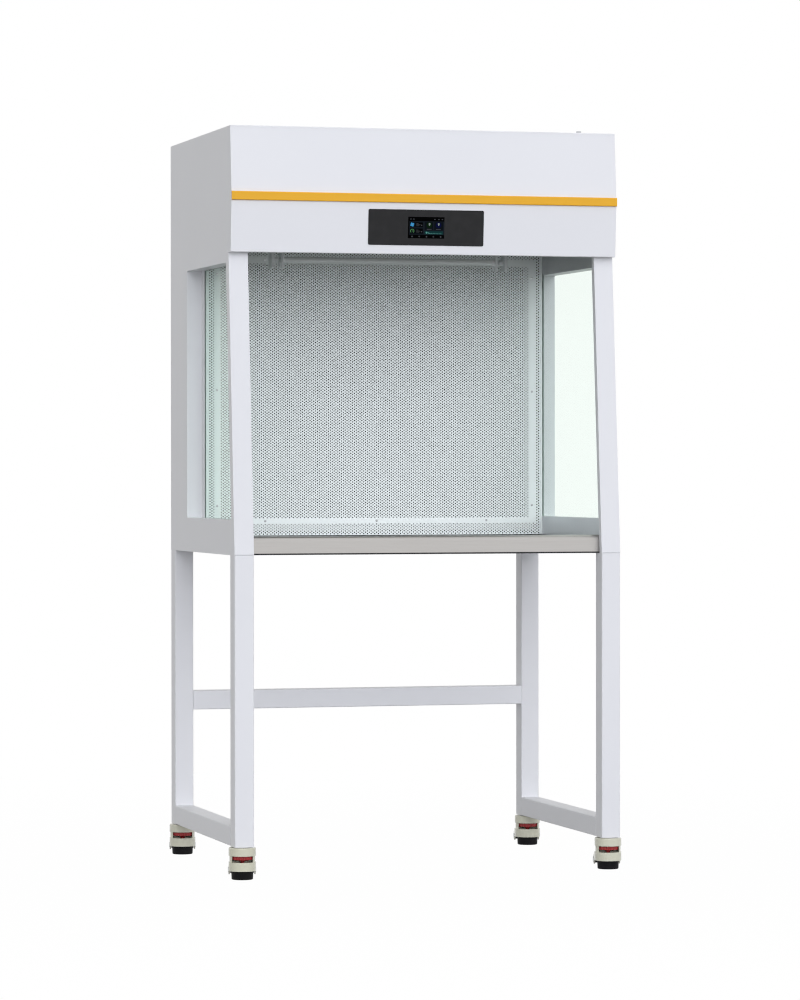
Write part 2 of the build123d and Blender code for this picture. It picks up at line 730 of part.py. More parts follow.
def scroll_point(angle, extra):
    """Point of the scroll at an angle from +Y, turning over the top, as (y, z)."""
    radius = SCROLL_OUT - (SCROLL_OUT - SCROLL_IN) * angle / SCROLL_TURN + extra
    return (BLOWER_Y + radius * cos(radians(angle)), BLOWER_Z + radius * sin(radians(angle)))


def scroll_profile(extra):
    """Closed outline of the scroll with its outlet, made larger by extra."""
    curve = [scroll_point(angle, extra) for angle in range(0, SCROLL_TURN + 1, 30)]
    deck = DECK_Z + SHEET
    Spline(*curve, tangents=[(0, 1), (sin(radians(60)), cos(radians(60)))])
    Polyline(
        curve[-1],
        (curve[-1][0], deck),
        (curve[0][0], deck),
        curve[0],
    )


BLOWER_AXIS = Axis((0, BLOWER_Y, BLOWER_Z), (1, 0, 0))
with BuildPart() as blower_housing:
    with BuildSketch(Plane.YZ):
        with BuildLine():
            scroll_profile(STEEL)
        make_face()
    extrude(amount=SCROLL_HALF, both=True)
    with BuildSketch(Plane.YZ):
        with BuildLine():
            scroll_profile(0)
        make_face()
    extrude(amount=SCROLL_HALF - STEEL, both=True, mode=Mode.SUBTRACT)
    with BuildSketch(Plane.YZ):
        with Locations((BLOWER_Y, BLOWER_Z)):
            Circle(EYE_R)
    extrude(amount=SCROLL_HALF + 1, both=True, mode=Mode.SUBTRACT)
    for eye in (-1, 1):
        with BuildSketch(Plane.XZ.offset(-BLOWER_Y)):
            with BuildLine():
                Polyline(
                    (eye * SCROLL_HALF, BLOWER_Z + EYE_R),
                    (eye * (SCROLL_HALF + EYE_FLARE), BLOWER_Z + EYE_R + EYE_FLARE),
                    (eye * (SCROLL_HALF + EYE_FLARE), BLOWER_Z + EYE_R + EYE_FLARE + STEEL),
                    (eye * SCROLL_HALF, BLOWER_Z + EYE_R + 2 * STEEL),
                    close=True,
                )
            make_face()
        revolve(axis=BLOWER_AXIS)
save(blower_housing, "blower_housing")

BLADE_REACH = IMPELLER_R - BLADE_ROOT - 3
with BuildSketch() as blade:
    with BuildLine():
        ThreePointArc((0, 0), (8, 1.6), (BLADE_REACH, 7))
        Line((BLADE_REACH, 7), (BLADE_REACH, 8.6))
        ThreePointArc((BLADE_REACH, 8.6), (7.6, 3.2), (0, 1.6))
        Line((0, 1.6), (0, 0))
    make_face()

with BuildPart() as impeller:
    with BuildSketch(Plane.YZ):
        with Locations((BLOWER_Y, BLOWER_Z)):
            Circle(IMPELLER_R)
    extrude(amount=1, both=True)
    with BuildSketch(Plane.YZ):
        with Locations((BLOWER_Y, BLOWER_Z)):
            Circle(IMPELLER_HUB_R)
    extrude(amount=IMPELLER_HUB_HALF, both=True)
    with BuildSketch(Plane.YZ):
        with Locations((BLOWER_Y, BLOWER_Z)):
            with PolarLocations(BLADE_ROOT + 1.5, BLADES):
                add(blade.sketch)
    extrude(amount=IMPELLER_HALF, both=True)
    for ring in (-1, 1):
        with BuildSketch(Plane.YZ.offset(ring * IMPELLER_HALF)):
            with Locations((BLOWER_Y, BLOWER_Z)):
                Circle(IMPELLER_R)
                Circle(BLADE_ROOT, mode=Mode.SUBTRACT)
        extrude(amount=-ring * IMPELLER_RING)
    with BuildSketch(Plane.YZ):
        with Locations((BLOWER_Y, BLOWER_Z)):
            Circle(SHAFT_R + RUNNING)
    extrude(amount=SHAFT_START, both=True, mode=Mode.SUBTRACT)
save(impeller, "impeller")

with BuildPart() as motor_shaft:
    with BuildSketch(Plane.YZ.offset(-SHAFT_START)):
        with Locations((BLOWER_Y, BLOWER_Z)):
            Circle(SHAFT_R)
    extrude(amount=SHAFT_START + MOTOR_X + MOTOR_LENGTH - MOTOR_END - 2)
save(motor_shaft, "motor_shaft")

with BuildPart() as blower_motor:
    with BuildSketch(Plane.YZ.offset(MOTOR_X + MOTOR_END)):
        with Locations((BLOWER_Y, BLOWER_Z)):
            Circle(MOTOR_R - FIN_HIGH / 2)
            with PolarLocations(MOTOR_R - FIN_HIGH / 2, FINS):
                Rectangle(FIN_HIGH, FIN_WIDE)
    extrude(amount=MOTOR_LENGTH - 2 * MOTOR_END)
    for start in (MOTOR_X, MOTOR_X + MOTOR_LENGTH - MOTOR_END):
        with BuildSketch(Plane.YZ.offset(start)):
            with Locations((BLOWER_Y, BLOWER_Z)):
                Circle(MOTOR_R)
        extrude(amount=MOTOR_END)
    stem_width, base_width, base_high = MOTOR_FOOT
    stem_high = BLOWER_Z - MOTOR_R + 2 * base_high - DECK_Z - SHEET
    with BuildSketch(Plane.YZ.offset(MOTOR_X + 2.5 * MOTOR_END)):
        with Locations((BLOWER_Y, DECK_Z + SHEET + stem_high / 2)):
            Rectangle(stem_width, stem_high)
        with Locations((BLOWER_Y, DECK_Z + SHEET + base_high / 2)):
            Rectangle(base_width, base_high)
    extrude(amount=MOTOR_LENGTH - 5 * MOTOR_END)
    with BuildSketch(Plane.YZ.offset(MOTOR_X)):
        with Locations((BLOWER_Y, BLOWER_Z)):
            Circle(SHAFT_R + RUNNING)
    extrude(amount=MOTOR_LENGTH - MOTOR_END, mode=Mode.SUBTRACT)
save(blower_motor, "blower_motor")

# ================================ Lamp ==========================================================
with BuildPart() as lamp_tube:
    with BuildSketch(Plane.YZ):
        with Locations((LAMP_Y, LAMP_Z)):
            Circle(LAMP_R)
    extrude(amount=LAMP_HALF, both=True)
    with BuildSketch(Plane.YZ):
        with Locations((LAMP_Y, LAMP_Z)):
            with PolarLocations(PIN_SPREAD, 2):
                Circle(PIN_R)
    extrude(amount=PIN_END, both=True)
save(lamp_tube, "lamp_tube")

with BuildPart() as lamp_holders:
    for side in (-1, 1):
        for near, far in (HOLDER_INNER, HOLDER_OUTER):
            with BuildSketch(Plane.YZ.offset(side * near)):
                with Locations((LAMP_Y, (HOLDER_LOW + DECK_Z) / 2)):
                    Rectangle(HOLDER_DEPTH, DECK_Z - HOLDER_LOW)
            extrude(amount=side * (far - near))
        with BuildSketch(Plane.YZ.offset(side * HOLDER_INNER[0])):
            with Locations((LAMP_Y, DECK_Z - HOLDER_ROOF / 2)):
                Rectangle(HOLDER_DEPTH, HOLDER_ROOF)
        extrude(amount=side * (HOLDER_OUTER[1] - HOLDER_INNER[0]))
        with BuildSketch(Plane.YZ.offset(side * PIN_END)):
            with Locations((LAMP_Y, LAMP_Z)):
                Circle(LAMP_R - PIN_R)
        extrude(amount=side * (HOLDER_OUTER[0] - PIN_END))
        with BuildSketch(Plane.YZ.offset(side * HOLDER_INNER[0])):
            with Locations((LAMP_Y, LAMP_Z)):
                Circle(LAMP_R + FIT)
            with Locations((LAMP_Y, (HOLDER_LOW + LAMP_Z) / 2)):
                Rectangle(2 * (LAMP_R + FIT), LAMP_Z - HOLDER_LOW)
        extrude(amount=side * (HOLDER_INNER[1] - HOLDER_INNER[0]), mode=Mode.SUBTRACT)
    low_edges = lamp_holders.edges().filter_by(Axis.X).group_by(Axis.Z)[0]
    chamfer(low_edges.group_by(Axis.Y)[0], HOLDER_CHAMFER)
save(lamp_holders, "lamp_holders")


# ================================ Levelling casters =============================================
def caster_base(corner):
    """Horizontal plane on the floor below a leg, with its y pointing where the wheel trails."""
    x, y = LEGS[corner]
    turn = radians(CASTER_TURN)
    return Plane(origin=(x, y, 0), x_dir=(cos(turn), sin(turn), 0), z_dir=(0, 0, 1))


def upright(base):
    """Upright plane through the swivel axis: its x is the caster's x, its y is up."""
    return Plane(origin=base.origin, x_dir=base.x_dir, z_dir=-base.y_dir)


def sideways(base, x):
    """Upright plane across the wheel's axle at x: its x is the caster's y, its y is up."""
    return Plane(origin=base.origin + base.x_dir * x, x_dir=base.y_dir, z_dir=base.x_dir)


def swivel_axis(base):
    return Axis(base.origin, (0, 0, 1))


def caster_housing(base):
    """Cast drum with a bearing for the stem, a slit for the adjuster and a fork for the wheel."""
    with BuildPart() as housing:
        with BuildSketch(upright(base)) as section:
            with BuildLine():
                Polyline(
                    (DRUM_BORE, DRUM_LOW),
                    (DRUM_R, DRUM_LOW),
                    (DRUM_R, SLIT[0]),
                    (DRUM_WAIST, SLIT[0]),
                    (DRUM_WAIST, SLIT[1]),
                    (DRUM_R, SLIT[1]),
                    (DRUM_R, DRUM_HIGH),
                    (STEM_R + RUNNING, DRUM_HIGH),
                    (STEM_R + RUNNING, COLLAR[1] + FIT),
                    (COLLAR_R + FIT, COLLAR[1] + FIT),
                    (COLLAR_R + FIT, COLLAR[0] - FIT),
                    (STEM_R + RUNNING, COLLAR[0] - FIT),
                    (STEM_R + RUNNING, STEM_LOW - FIT),
                    (SCREW_R + RUNNING, STEM_LOW - FIT),
                    (SCREW_R + RUNNING, CAVITY_TOP),
                    (DRUM_BORE, CAVITY_TOP),
                    close=True,
                )
            make_face()
            fillet(section.vertices().sort_by_distance((DRUM_R, DRUM_HIGH))[0], DRUM_EDGE)
        revolve(axis=swivel_axis(base))
        with BuildSketch(base.offset(SLIT[0])):
            with Locations((0, -DRUM_R)):
                Rectangle(2 * SLIT_HALF, 2 * DRUM_R)
        extrude(amount=SLIT[1] - SLIT[0], mode=Mode.SUBTRACT)
        for side in (-1, 1):
            with BuildSketch(sideways(base, side * CHEEK[0])):
                with BuildLine():
                    Polyline(
                        (CHEEK_FRONT, DRUM_LOW),
                        (TRAIL, DRUM_LOW),
                        (TRAIL, AXLE_Z + LOBE_R),
                        (CHEEK_SHOULDER, SLIT[0]),
                        (CHEEK_FRONT, SLIT[0]),
                        close=True,
                    )
                make_face()
                with Locations((TRAIL, AXLE_Z)):
                    Circle(LOBE_R)
            extrude(amount=side * (CHEEK[1] - CHEEK[0]))
        with BuildSketch(base.offset(DRUM_LOW)):
            with Locations((0, FORK_FRONT + DRUM_R)):
                Rectangle(2 * CHEEK[0], 2 * DRUM_R)
        extrude(amount=WELL[0] - DRUM_LOW, mode=Mode.SUBTRACT)
        with BuildSketch(base.offset(WELL[0])):
            Circle(DRUM_R - FIT)
            with Locations((0, FORK_FRONT - DRUM_R)):
                Rectangle(2 * DRUM_R, 2 * DRUM_R, mode=Mode.SUBTRACT)
        extrude(amount=WELL[1] - WELL[0])
        with BuildSketch(base.offset(WELL_LOW)):
            with Locations((0, FORK_FRONT + WELL_FRONT / 2)):
                Rectangle(2 * CHEEK[0] + 1, WELL_FRONT)
        extrude(amount=WELL[1] - WELL_LOW)
        with BuildSketch(sideways(base, 0)):
            with Locations((TRAIL, AXLE_Z)):
                Circle(AXLE_R + RUNNING)
        extrude(amount=2 * DRUM_R, both=True, mode=Mode.SUBTRACT)
    return housing


def caster_axle(base):
    """Pin through both cheeks, with a flat head on each end."""
    with BuildPart() as axle:
        with BuildSketch(sideways(base, 0)):
            with Locations((TRAIL, AXLE_Z)):
                Circle(AXLE_R)
        extrude(amount=CHEEK[1], both=True)
        for side in (-1, 1):
            with BuildSketch(sideways(base, side * CHEEK[1])):
                with Locations((TRAIL, AXLE_Z)):
                    Circle(AXLE_HEAD_R)
            extrude(amount=side * AXLE_HEAD)
    return axle


def caster_wheel(base):
    """Nylon wheel with long hub ends that keep it between the cheeks."""
    axle_line = Axis(base.from_local_coords((0, TRAIL, AXLE_Z)), base.x_dir)
    hub_end = CHEEK[0] - HUB_PLAY
    bore = AXLE_R + WHEEL_PLAY
    dish = WHEEL_HALF - WHEEL_DISH
    rim = AXLE_Z + WHEEL_R - WHEEL_RIM
    with BuildPart() as wheel:
        section_plane = upright(base).offset(-TRAIL)
        with BuildSketch(section_plane) as section:
            with BuildLine():
                Polyline(
                    (-hub_end, AXLE_Z + bore),
                    (-hub_end, AXLE_Z + HUB_R),
                    (-dish, AXLE_Z + HUB_R),
                    (-dish, rim),
                    (-WHEEL_HALF, rim),
                    (-WHEEL_HALF, AXLE_Z + WHEEL_R),
                    (WHEEL_HALF, AXLE_Z + WHEEL_R),
                    (WHEEL_HALF, rim),
                    (dish, rim),
                    (dish, AXLE_Z + HUB_R),
                    (hub_end, AXLE_Z + HUB_R),
                    (hub_end, AXLE_Z + bore),
                    close=True,
                )
            make_face()
            fillet(section.vertices().group_by(Axis.Y)[-1], WHEEL_DISH / 2)
        revolve(axis=axle_line)
    return wheel


def caster_adjuster(base):
    """Fluted thumbwheel on its screw."""
    with BuildPart() as adjuster:
        with BuildSketch(upright(base)):
            with BuildLine():
                Polyline(
                    (0, SCREW_FOOT),
                    (SCREW_R, SCREW_FOOT),
                    (SCREW_R, ADJUSTER[0] - ADJUSTER_HUB),
                    (HUB_LOW_R, ADJUSTER[0] - ADJUSTER_HUB),
                    (HUB_HIGH_R, ADJUSTER[0]),
                    (ADJUSTER_R, ADJUSTER[0]),
                    (ADJUSTER_R, ADJUSTER[1]),
                    (SCREW_R, ADJUSTER[1]),
                    (SCREW_R, SCREW_TOP),
                    (0, SCREW_TOP),
                    close=True,
                )
            make_face()
        revolve(axis=swivel_axis(base))
        with BuildSketch(base.offset(ADJUSTER[0])):
            with PolarLocations(ADJUSTER_R + 1, FLUTES):
                Circle(FLUTE_R)
        extrude(amount=ADJUSTER[1] - ADJUSTER[0], mode=Mode.SUBTRACT)
    return adjuster


def foot_pad(base):
    """Tapered rubber foot, slotted at the rear to stand astride the wheel."""
    with BuildPart() as pad:
        with BuildSketch(upright(base)) as section:
            with BuildLine():
                Polyline(
                    (0, 0),
                    (PAD_FOOT_R, 0),
                    (PAD_R, PAD_HIGH),
                    (SCREW_R + RUNNING, PAD_HIGH),
                    (SCREW_R + RUNNING, SCREW_FOOT),
                    (0, SCREW_FOOT),
                    close=True,
                )
            make_face()
            fillet(section.vertices().sort_by_distance((PAD_FOOT_R, 0))[0], PAD_EDGE)
        revolve(axis=swivel_axis(base))
        with BuildSketch(base):
            with Locations((0, PAD_SLOT + PAD_R)):
                Rectangle(2 * WHEEL_HALF + WHEEL_DISH, 2 * PAD_R)
            with Locations((0, PAD_REAR + PAD_R)):
                Rectangle(2 * PAD_R, 2 * PAD_R)
        extrude(amount=PAD_HIGH, mode=Mode.SUBTRACT)
    return pad


SHORT = {"front_left": "fl", "front_right": "fr", "rear_left": "rl", "rear_right": "rr"}
for corner, short in SHORT.items():
    caster = caster_base(corner)
    save(caster_housing(caster), f"caster_housing_{short}")
    save(caster_axle(caster), f"caster_axle_{short}")
    save(caster_wheel(caster), f"caster_wheel_{short}")
    save(caster_adjuster(caster), f"caster_adjuster_{short}")
    save(foot_pad(caster), f"foot_pad_{short}")

with BuildPart() as caster_stems:
    for low, high, radius in (
        (STEM_LOW, LEG_FOOT, STEM_R),
        (COLLAR[0], COLLAR[1], COLLAR_R),
        (DRUM_HIGH + FIT, LEG_FOOT, FLANGE_R),
        (LEG_FOOT, LEG_FOOT + FOOT_BLOCK - THREAD_SHORT, THREAD_R),
    ):
        with BuildSketch(Plane.XY.offset(low)):
            with Locations(*LEGS.values()):
                Circle(radius)
        extrude(amount=high - low)
save(caster_stems, "caster_stems")
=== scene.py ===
import json
import math

import bmesh
import bpy
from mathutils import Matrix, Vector


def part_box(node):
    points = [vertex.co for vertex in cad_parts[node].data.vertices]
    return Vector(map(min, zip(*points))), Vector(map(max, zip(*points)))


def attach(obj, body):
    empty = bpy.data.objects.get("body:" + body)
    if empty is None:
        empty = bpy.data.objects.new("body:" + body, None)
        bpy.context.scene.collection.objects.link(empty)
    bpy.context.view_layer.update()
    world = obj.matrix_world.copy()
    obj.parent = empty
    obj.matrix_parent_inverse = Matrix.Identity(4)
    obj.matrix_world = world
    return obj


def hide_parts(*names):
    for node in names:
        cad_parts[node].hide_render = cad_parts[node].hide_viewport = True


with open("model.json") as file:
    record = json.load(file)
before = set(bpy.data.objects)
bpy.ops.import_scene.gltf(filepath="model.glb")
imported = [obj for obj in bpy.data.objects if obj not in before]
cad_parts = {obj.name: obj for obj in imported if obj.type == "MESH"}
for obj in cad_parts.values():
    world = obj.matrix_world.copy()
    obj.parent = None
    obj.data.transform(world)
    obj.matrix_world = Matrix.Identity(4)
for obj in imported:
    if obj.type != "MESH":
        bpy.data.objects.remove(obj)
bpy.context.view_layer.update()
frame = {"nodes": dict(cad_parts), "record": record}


# ---------------------------------------------------------------- small helpers for node trees
def feed(tree, socket, value):
    """Links a socket to another one, or sets it when the value is plain."""
    if isinstance(value, bpy.types.NodeSocket):
        tree.links.new(value, socket)
    else:
        socket.default_value = value


def node(tree, kind, given=None, **settings):
    """One node with its settings and the values or links of its inputs."""
    made = tree.nodes.new(kind)
    for name, value in settings.items():
        setattr(made, name, value)
    for name, value in (given or {}).items():
        feed(tree, made.inputs[name], value)
    return made


def mix_colours(tree, share, first, second, how="MIX"):
    mixer = node(tree, "ShaderNodeMix", data_type="RGBA", blend_type=how)
    feed(tree, mixer.inputs[0], share)
    feed(tree, mixer.inputs[6], first)
    feed(tree, mixer.inputs[7], second)
    return mixer.outputs[2]


def calculate(tree, what, *values):
    sums = node(tree, "ShaderNodeMath", operation=what)
    for socket, value in zip(sums.inputs, values):
        feed(tree, socket, value)
    return sums.outputs[0]


def spread(tree, value, low, high, new_low, new_high):
    """Maps low..high of a value onto another range."""
    given = {"Value": value, "From Min": low, "From Max": high, "To Min": new_low, "To Max": new_high}
    return node(tree, "ShaderNodeMapRange", given).outputs[0]


def noise(tree, size, detail=2.0, stretch=(1, 1, 1)):
    """Noise fixed to the piece, stretched along an axis where its number is small."""
    place = node(tree, "ShaderNodeTexCoord").outputs["Object"]
    if stretch != (1, 1, 1):
        place = node(tree, "ShaderNodeMapping", {"Vector": place, "Scale": stretch}).outputs[0]
    return node(tree, "ShaderNodeTexNoise", {"Vector": place, "Scale": size, "Detail": detail}).outputs[0]


def new_effect(name, **extra):
    """Empty node group that gives a colour, a roughness and a height."""
    group = bpy.data.node_groups.new(name, "ShaderNodeTree")
    inputs = {"Colour": (0.8, 0.8, 0.8, 1), "Roughness": 0.4, "Grain size": 500.0, "Unevenness": 0.1}
    inputs.update({label.replace("_", " "): value for label, value in extra.items()})
    for label, value in inputs.items():
        kind = "NodeSocketColor" if isinstance(value, tuple) else "NodeSocketFloat"
        group.interface.new_socket(label, in_out="INPUT", socket_type=kind).default_value = value
    for label, kind in (("Colour", "Color"), ("Roughness", "Float"), ("Height", "Float")):
        group.interface.new_socket(label, in_out="OUTPUT", socket_type="NodeSocket" + kind)
    return group, group.nodes.new("NodeGroupInput").outputs, group.nodes.new("NodeGroupOutput").inputs


def dust_on_top(tree, amount):
    """Mask of faces that look up, broken up by noise, times an amount."""
    up = node(tree, "ShaderNodeSeparateXYZ", {0: node(tree, "ShaderNodeNewGeometry").outputs["Normal"]})
    level = spread(tree, up.outputs[2], 0.75, 1.0, 0.0, 1.0)
    specks = spread(tree, noise(tree, 22.0, 6.0), 0.35, 0.75, 0.3, 1.0)
    return calculate(tree, "MULTIPLY", calculate(tree, "MULTIPLY", level, specks), amount)


# ---------------------------------------------------------------- shared surface effects
# Each one is a node group, so a finish below only gives its numbers.
def powder_coat_effect():
    """Sprayed and baked paint: a fine pebbled skin, faint clouds in the tone, dust on top faces."""
    tree, given, result = new_effect("Powder coat", Dust=0.15)
    clouds = noise(tree, 2.6, 4.0)
    tone = calculate(tree, "MULTIPLY", spread(tree, clouds, 0.35, 0.7, 0.0, 1.0), given["Unevenness"])
    paint = mix_colours(tree, tone, given["Colour"], (0.60, 0.62, 0.66, 1))
    dusty = mix_colours(tree, dust_on_top(tree, given["Dust"]), paint, (0.55, 0.53, 0.49, 1))
    feed(tree, result["Colour"], dusty)
    gloss = calculate(tree, "MULTIPLY_ADD", noise(tree, 9.0, 3.0), given["Unevenness"], given["Roughness"])
    feed(tree, result["Roughness"], gloss)
    feed(tree, result["Height"], noise(tree, given["Grain size"], 3.0))
    return tree


def brushed_effect():
    """Metal ground along X: long fine scratches in tone, gloss and height, with faint smears."""
    tree, given, result = new_effect("Brushed metal")
    scratches = noise(tree, given["Grain size"], 4.0, stretch=(0.012, 1, 1))
    smears = spread(tree, noise(tree, 5.0, 5.0), 0.4, 0.8, 0.0, 1.0)
    tone = calculate(tree, "MULTIPLY", spread(tree, scratches, 0.3, 0.7, 0.0, 1.0), given["Unevenness"])
    metal = mix_colours(tree, tone, given["Colour"], (0.30, 0.29, 0.28, 1))
    feed(tree, result["Colour"], metal)
    rough = calculate(tree, "MULTIPLY_ADD", scratches, 0.16, given["Roughness"])
    feed(tree, result["Roughness"], calculate(tree, "MULTIPLY_ADD", smears, given["Unevenness"], rough))
    feed(tree, result["Height"], scratches)
    return tree


def moulded_effect():
    """Moulded plastic and rubber: a fine leathery grain with slight rubbed patches."""
    tree, given, result = new_effect("Moulded grain", Dust=0.1)
    rubbed = spread(tree, noise(tree, 35.0, 5.0), 0.45, 0.75, 0.0, 1.0)
    tone = calculate(tree, "MULTIPLY", rubbed, given["Unevenness"])
    body = mix_colours(tree, tone, given["Colour"], (0.32, 0.31, 0.30, 1))
    dusty = mix_colours(tree, dust_on_top(tree, given["Dust"]), body, (0.50, 0.48, 0.44, 1))
    feed(tree, result["Colour"], dusty)
    feed(tree, result["Roughness"], calculate(tree, "MULTIPLY_ADD", rubbed, 0.12, given["Roughness"]))
    feed(tree, result["Height"], noise(tree, given["Grain size"], 2.0))
    return tree


def spangle_effect():
    """Zinc coat: flat crystals of slightly different tone and gloss."""
    tree, given, result = new_effect("Zinc spangle")
    place = node(tree, "ShaderNodeTexCoord").outputs["Object"]
    crystals = node(tree, "ShaderNodeTexVoronoi", {"Vector": place, "Scale": given["Grain size"]})
    tone = node(tree, "ShaderNodeSeparateXYZ", {0: crystals.outputs["Color"]}).outputs[0]
    share = calculate(tree, "MULTIPLY", tone, given["Unevenness"])
    feed(tree, result["Colour"], mix_colours(tree, share, given["Colour"], (0.33, 0.35, 0.37, 1)))
    feed(tree, result["Roughness"], calculate(tree, "MULTIPLY_ADD", tone, 0.14, given["Roughness"]))
    feed(tree, result["Height"], noise(tree, 60.0, 4.0))
    return tree


def fibre_effect():
    """Felted fibres: short strands two ways and a soft mottled tone."""
    tree, given, result = new_effect("Fibre felt")
    strands = noise(tree, given["Grain size"], 5.0, stretch=(1, 0.12, 0.3))
    crossed = noise(tree, given["Grain size"], 5.0, stretch=(0.12, 1, 0.3))
    felt = calculate(tree, "MAXIMUM", strands, crossed)
    tone = calculate(tree, "MULTIPLY", spread(tree, felt, 0.45, 0.75, 1.0, 0.0), given["Unevenness"])
    feed(tree, result["Colour"], mix_colours(tree, tone, given["Colour"], (0.40, 0.39, 0.36, 1)))
    feed(tree, result["Roughness"], calculate(tree, "MULTIPLY_ADD", felt, 0.1, given["Roughness"]))
    feed(tree, result["Height"], felt)
    return tree


EFFECTS = {
    "paint": powder_coat_effect(),
    "brushed": brushed_effect(),
    "moulded": moulded_effect(),
    "zinc": spangle_effect(),
    "fibre": fibre_effect(),
}


def finish(name, effect, colour, roughness, grain, uneven, relief=(0.1, 0.0002), dust=None, **shader):
    """Material whose colour, gloss and relief (strength, depth) come from one of the shared effects."""
    material = bpy.data.materials.new(name)
    material.use_nodes = True
    tree = material.node_tree
    surface = tree.nodes["Principled BSDF"]
    skin = node(tree, "ShaderNodeGroup", node_tree=EFFECTS[effect])
    given = {"Colour": (*colour, 1), "Roughness": roughness, "Grain size": grain, "Unevenness": uneven}
    if dust is not None:
        given["Dust"] = dust
    for label, value in given.items():
        skin.inputs[label].default_value = value
    height = {"Height": skin.outputs["Height"], "Strength": relief[0], "Distance": relief[1]}
    bump = node(tree, "ShaderNodeBump", height)
    feed(tree, surface.inputs["Base Color"], skin.outputs["Colour"])
    feed(tree, surface.inputs["Roughness"], skin.outputs["Roughness"])
    feed(tree, surface.inputs["Normal"], bump.outputs[0])
    for label, value in shader.items():
        surface.inputs[label.replace("_", " ")].default_value = value
    return material


def clear_glass():
    """Float glass with a faint green tint. Light passes it without a dark shadow."""
    material = bpy.data.materials.new("clear_glass")
    material.use_nodes = True
    tree = material.node_tree
    surface = tree.nodes["Principled BSDF"]
    surface.inputs["Roughness"].default_value = 0.0
    surface.inputs["Base Color"].default_value = (0.93, 1.0, 0.955, 1)
    surface.inputs["Transmission Weight"].default_value = 1.0
    surface.inputs["IOR"].default_value = 1.05
    passing = node(tree, "ShaderNodeBsdfTransparent", {"Color": (0.80, 0.97, 0.88, 1)})
    shaded = node(tree, "ShaderNodeLightPath").outputs["Is Shadow Ray"]
    choice = node(tree, "ShaderNodeMixShader", {0: shaded, 1: surface.outputs[0], 2: passing.outputs[0]})
    tree.links.new(choice.outputs[0], tree.nodes["Material Output"].inputs[0])
    return material


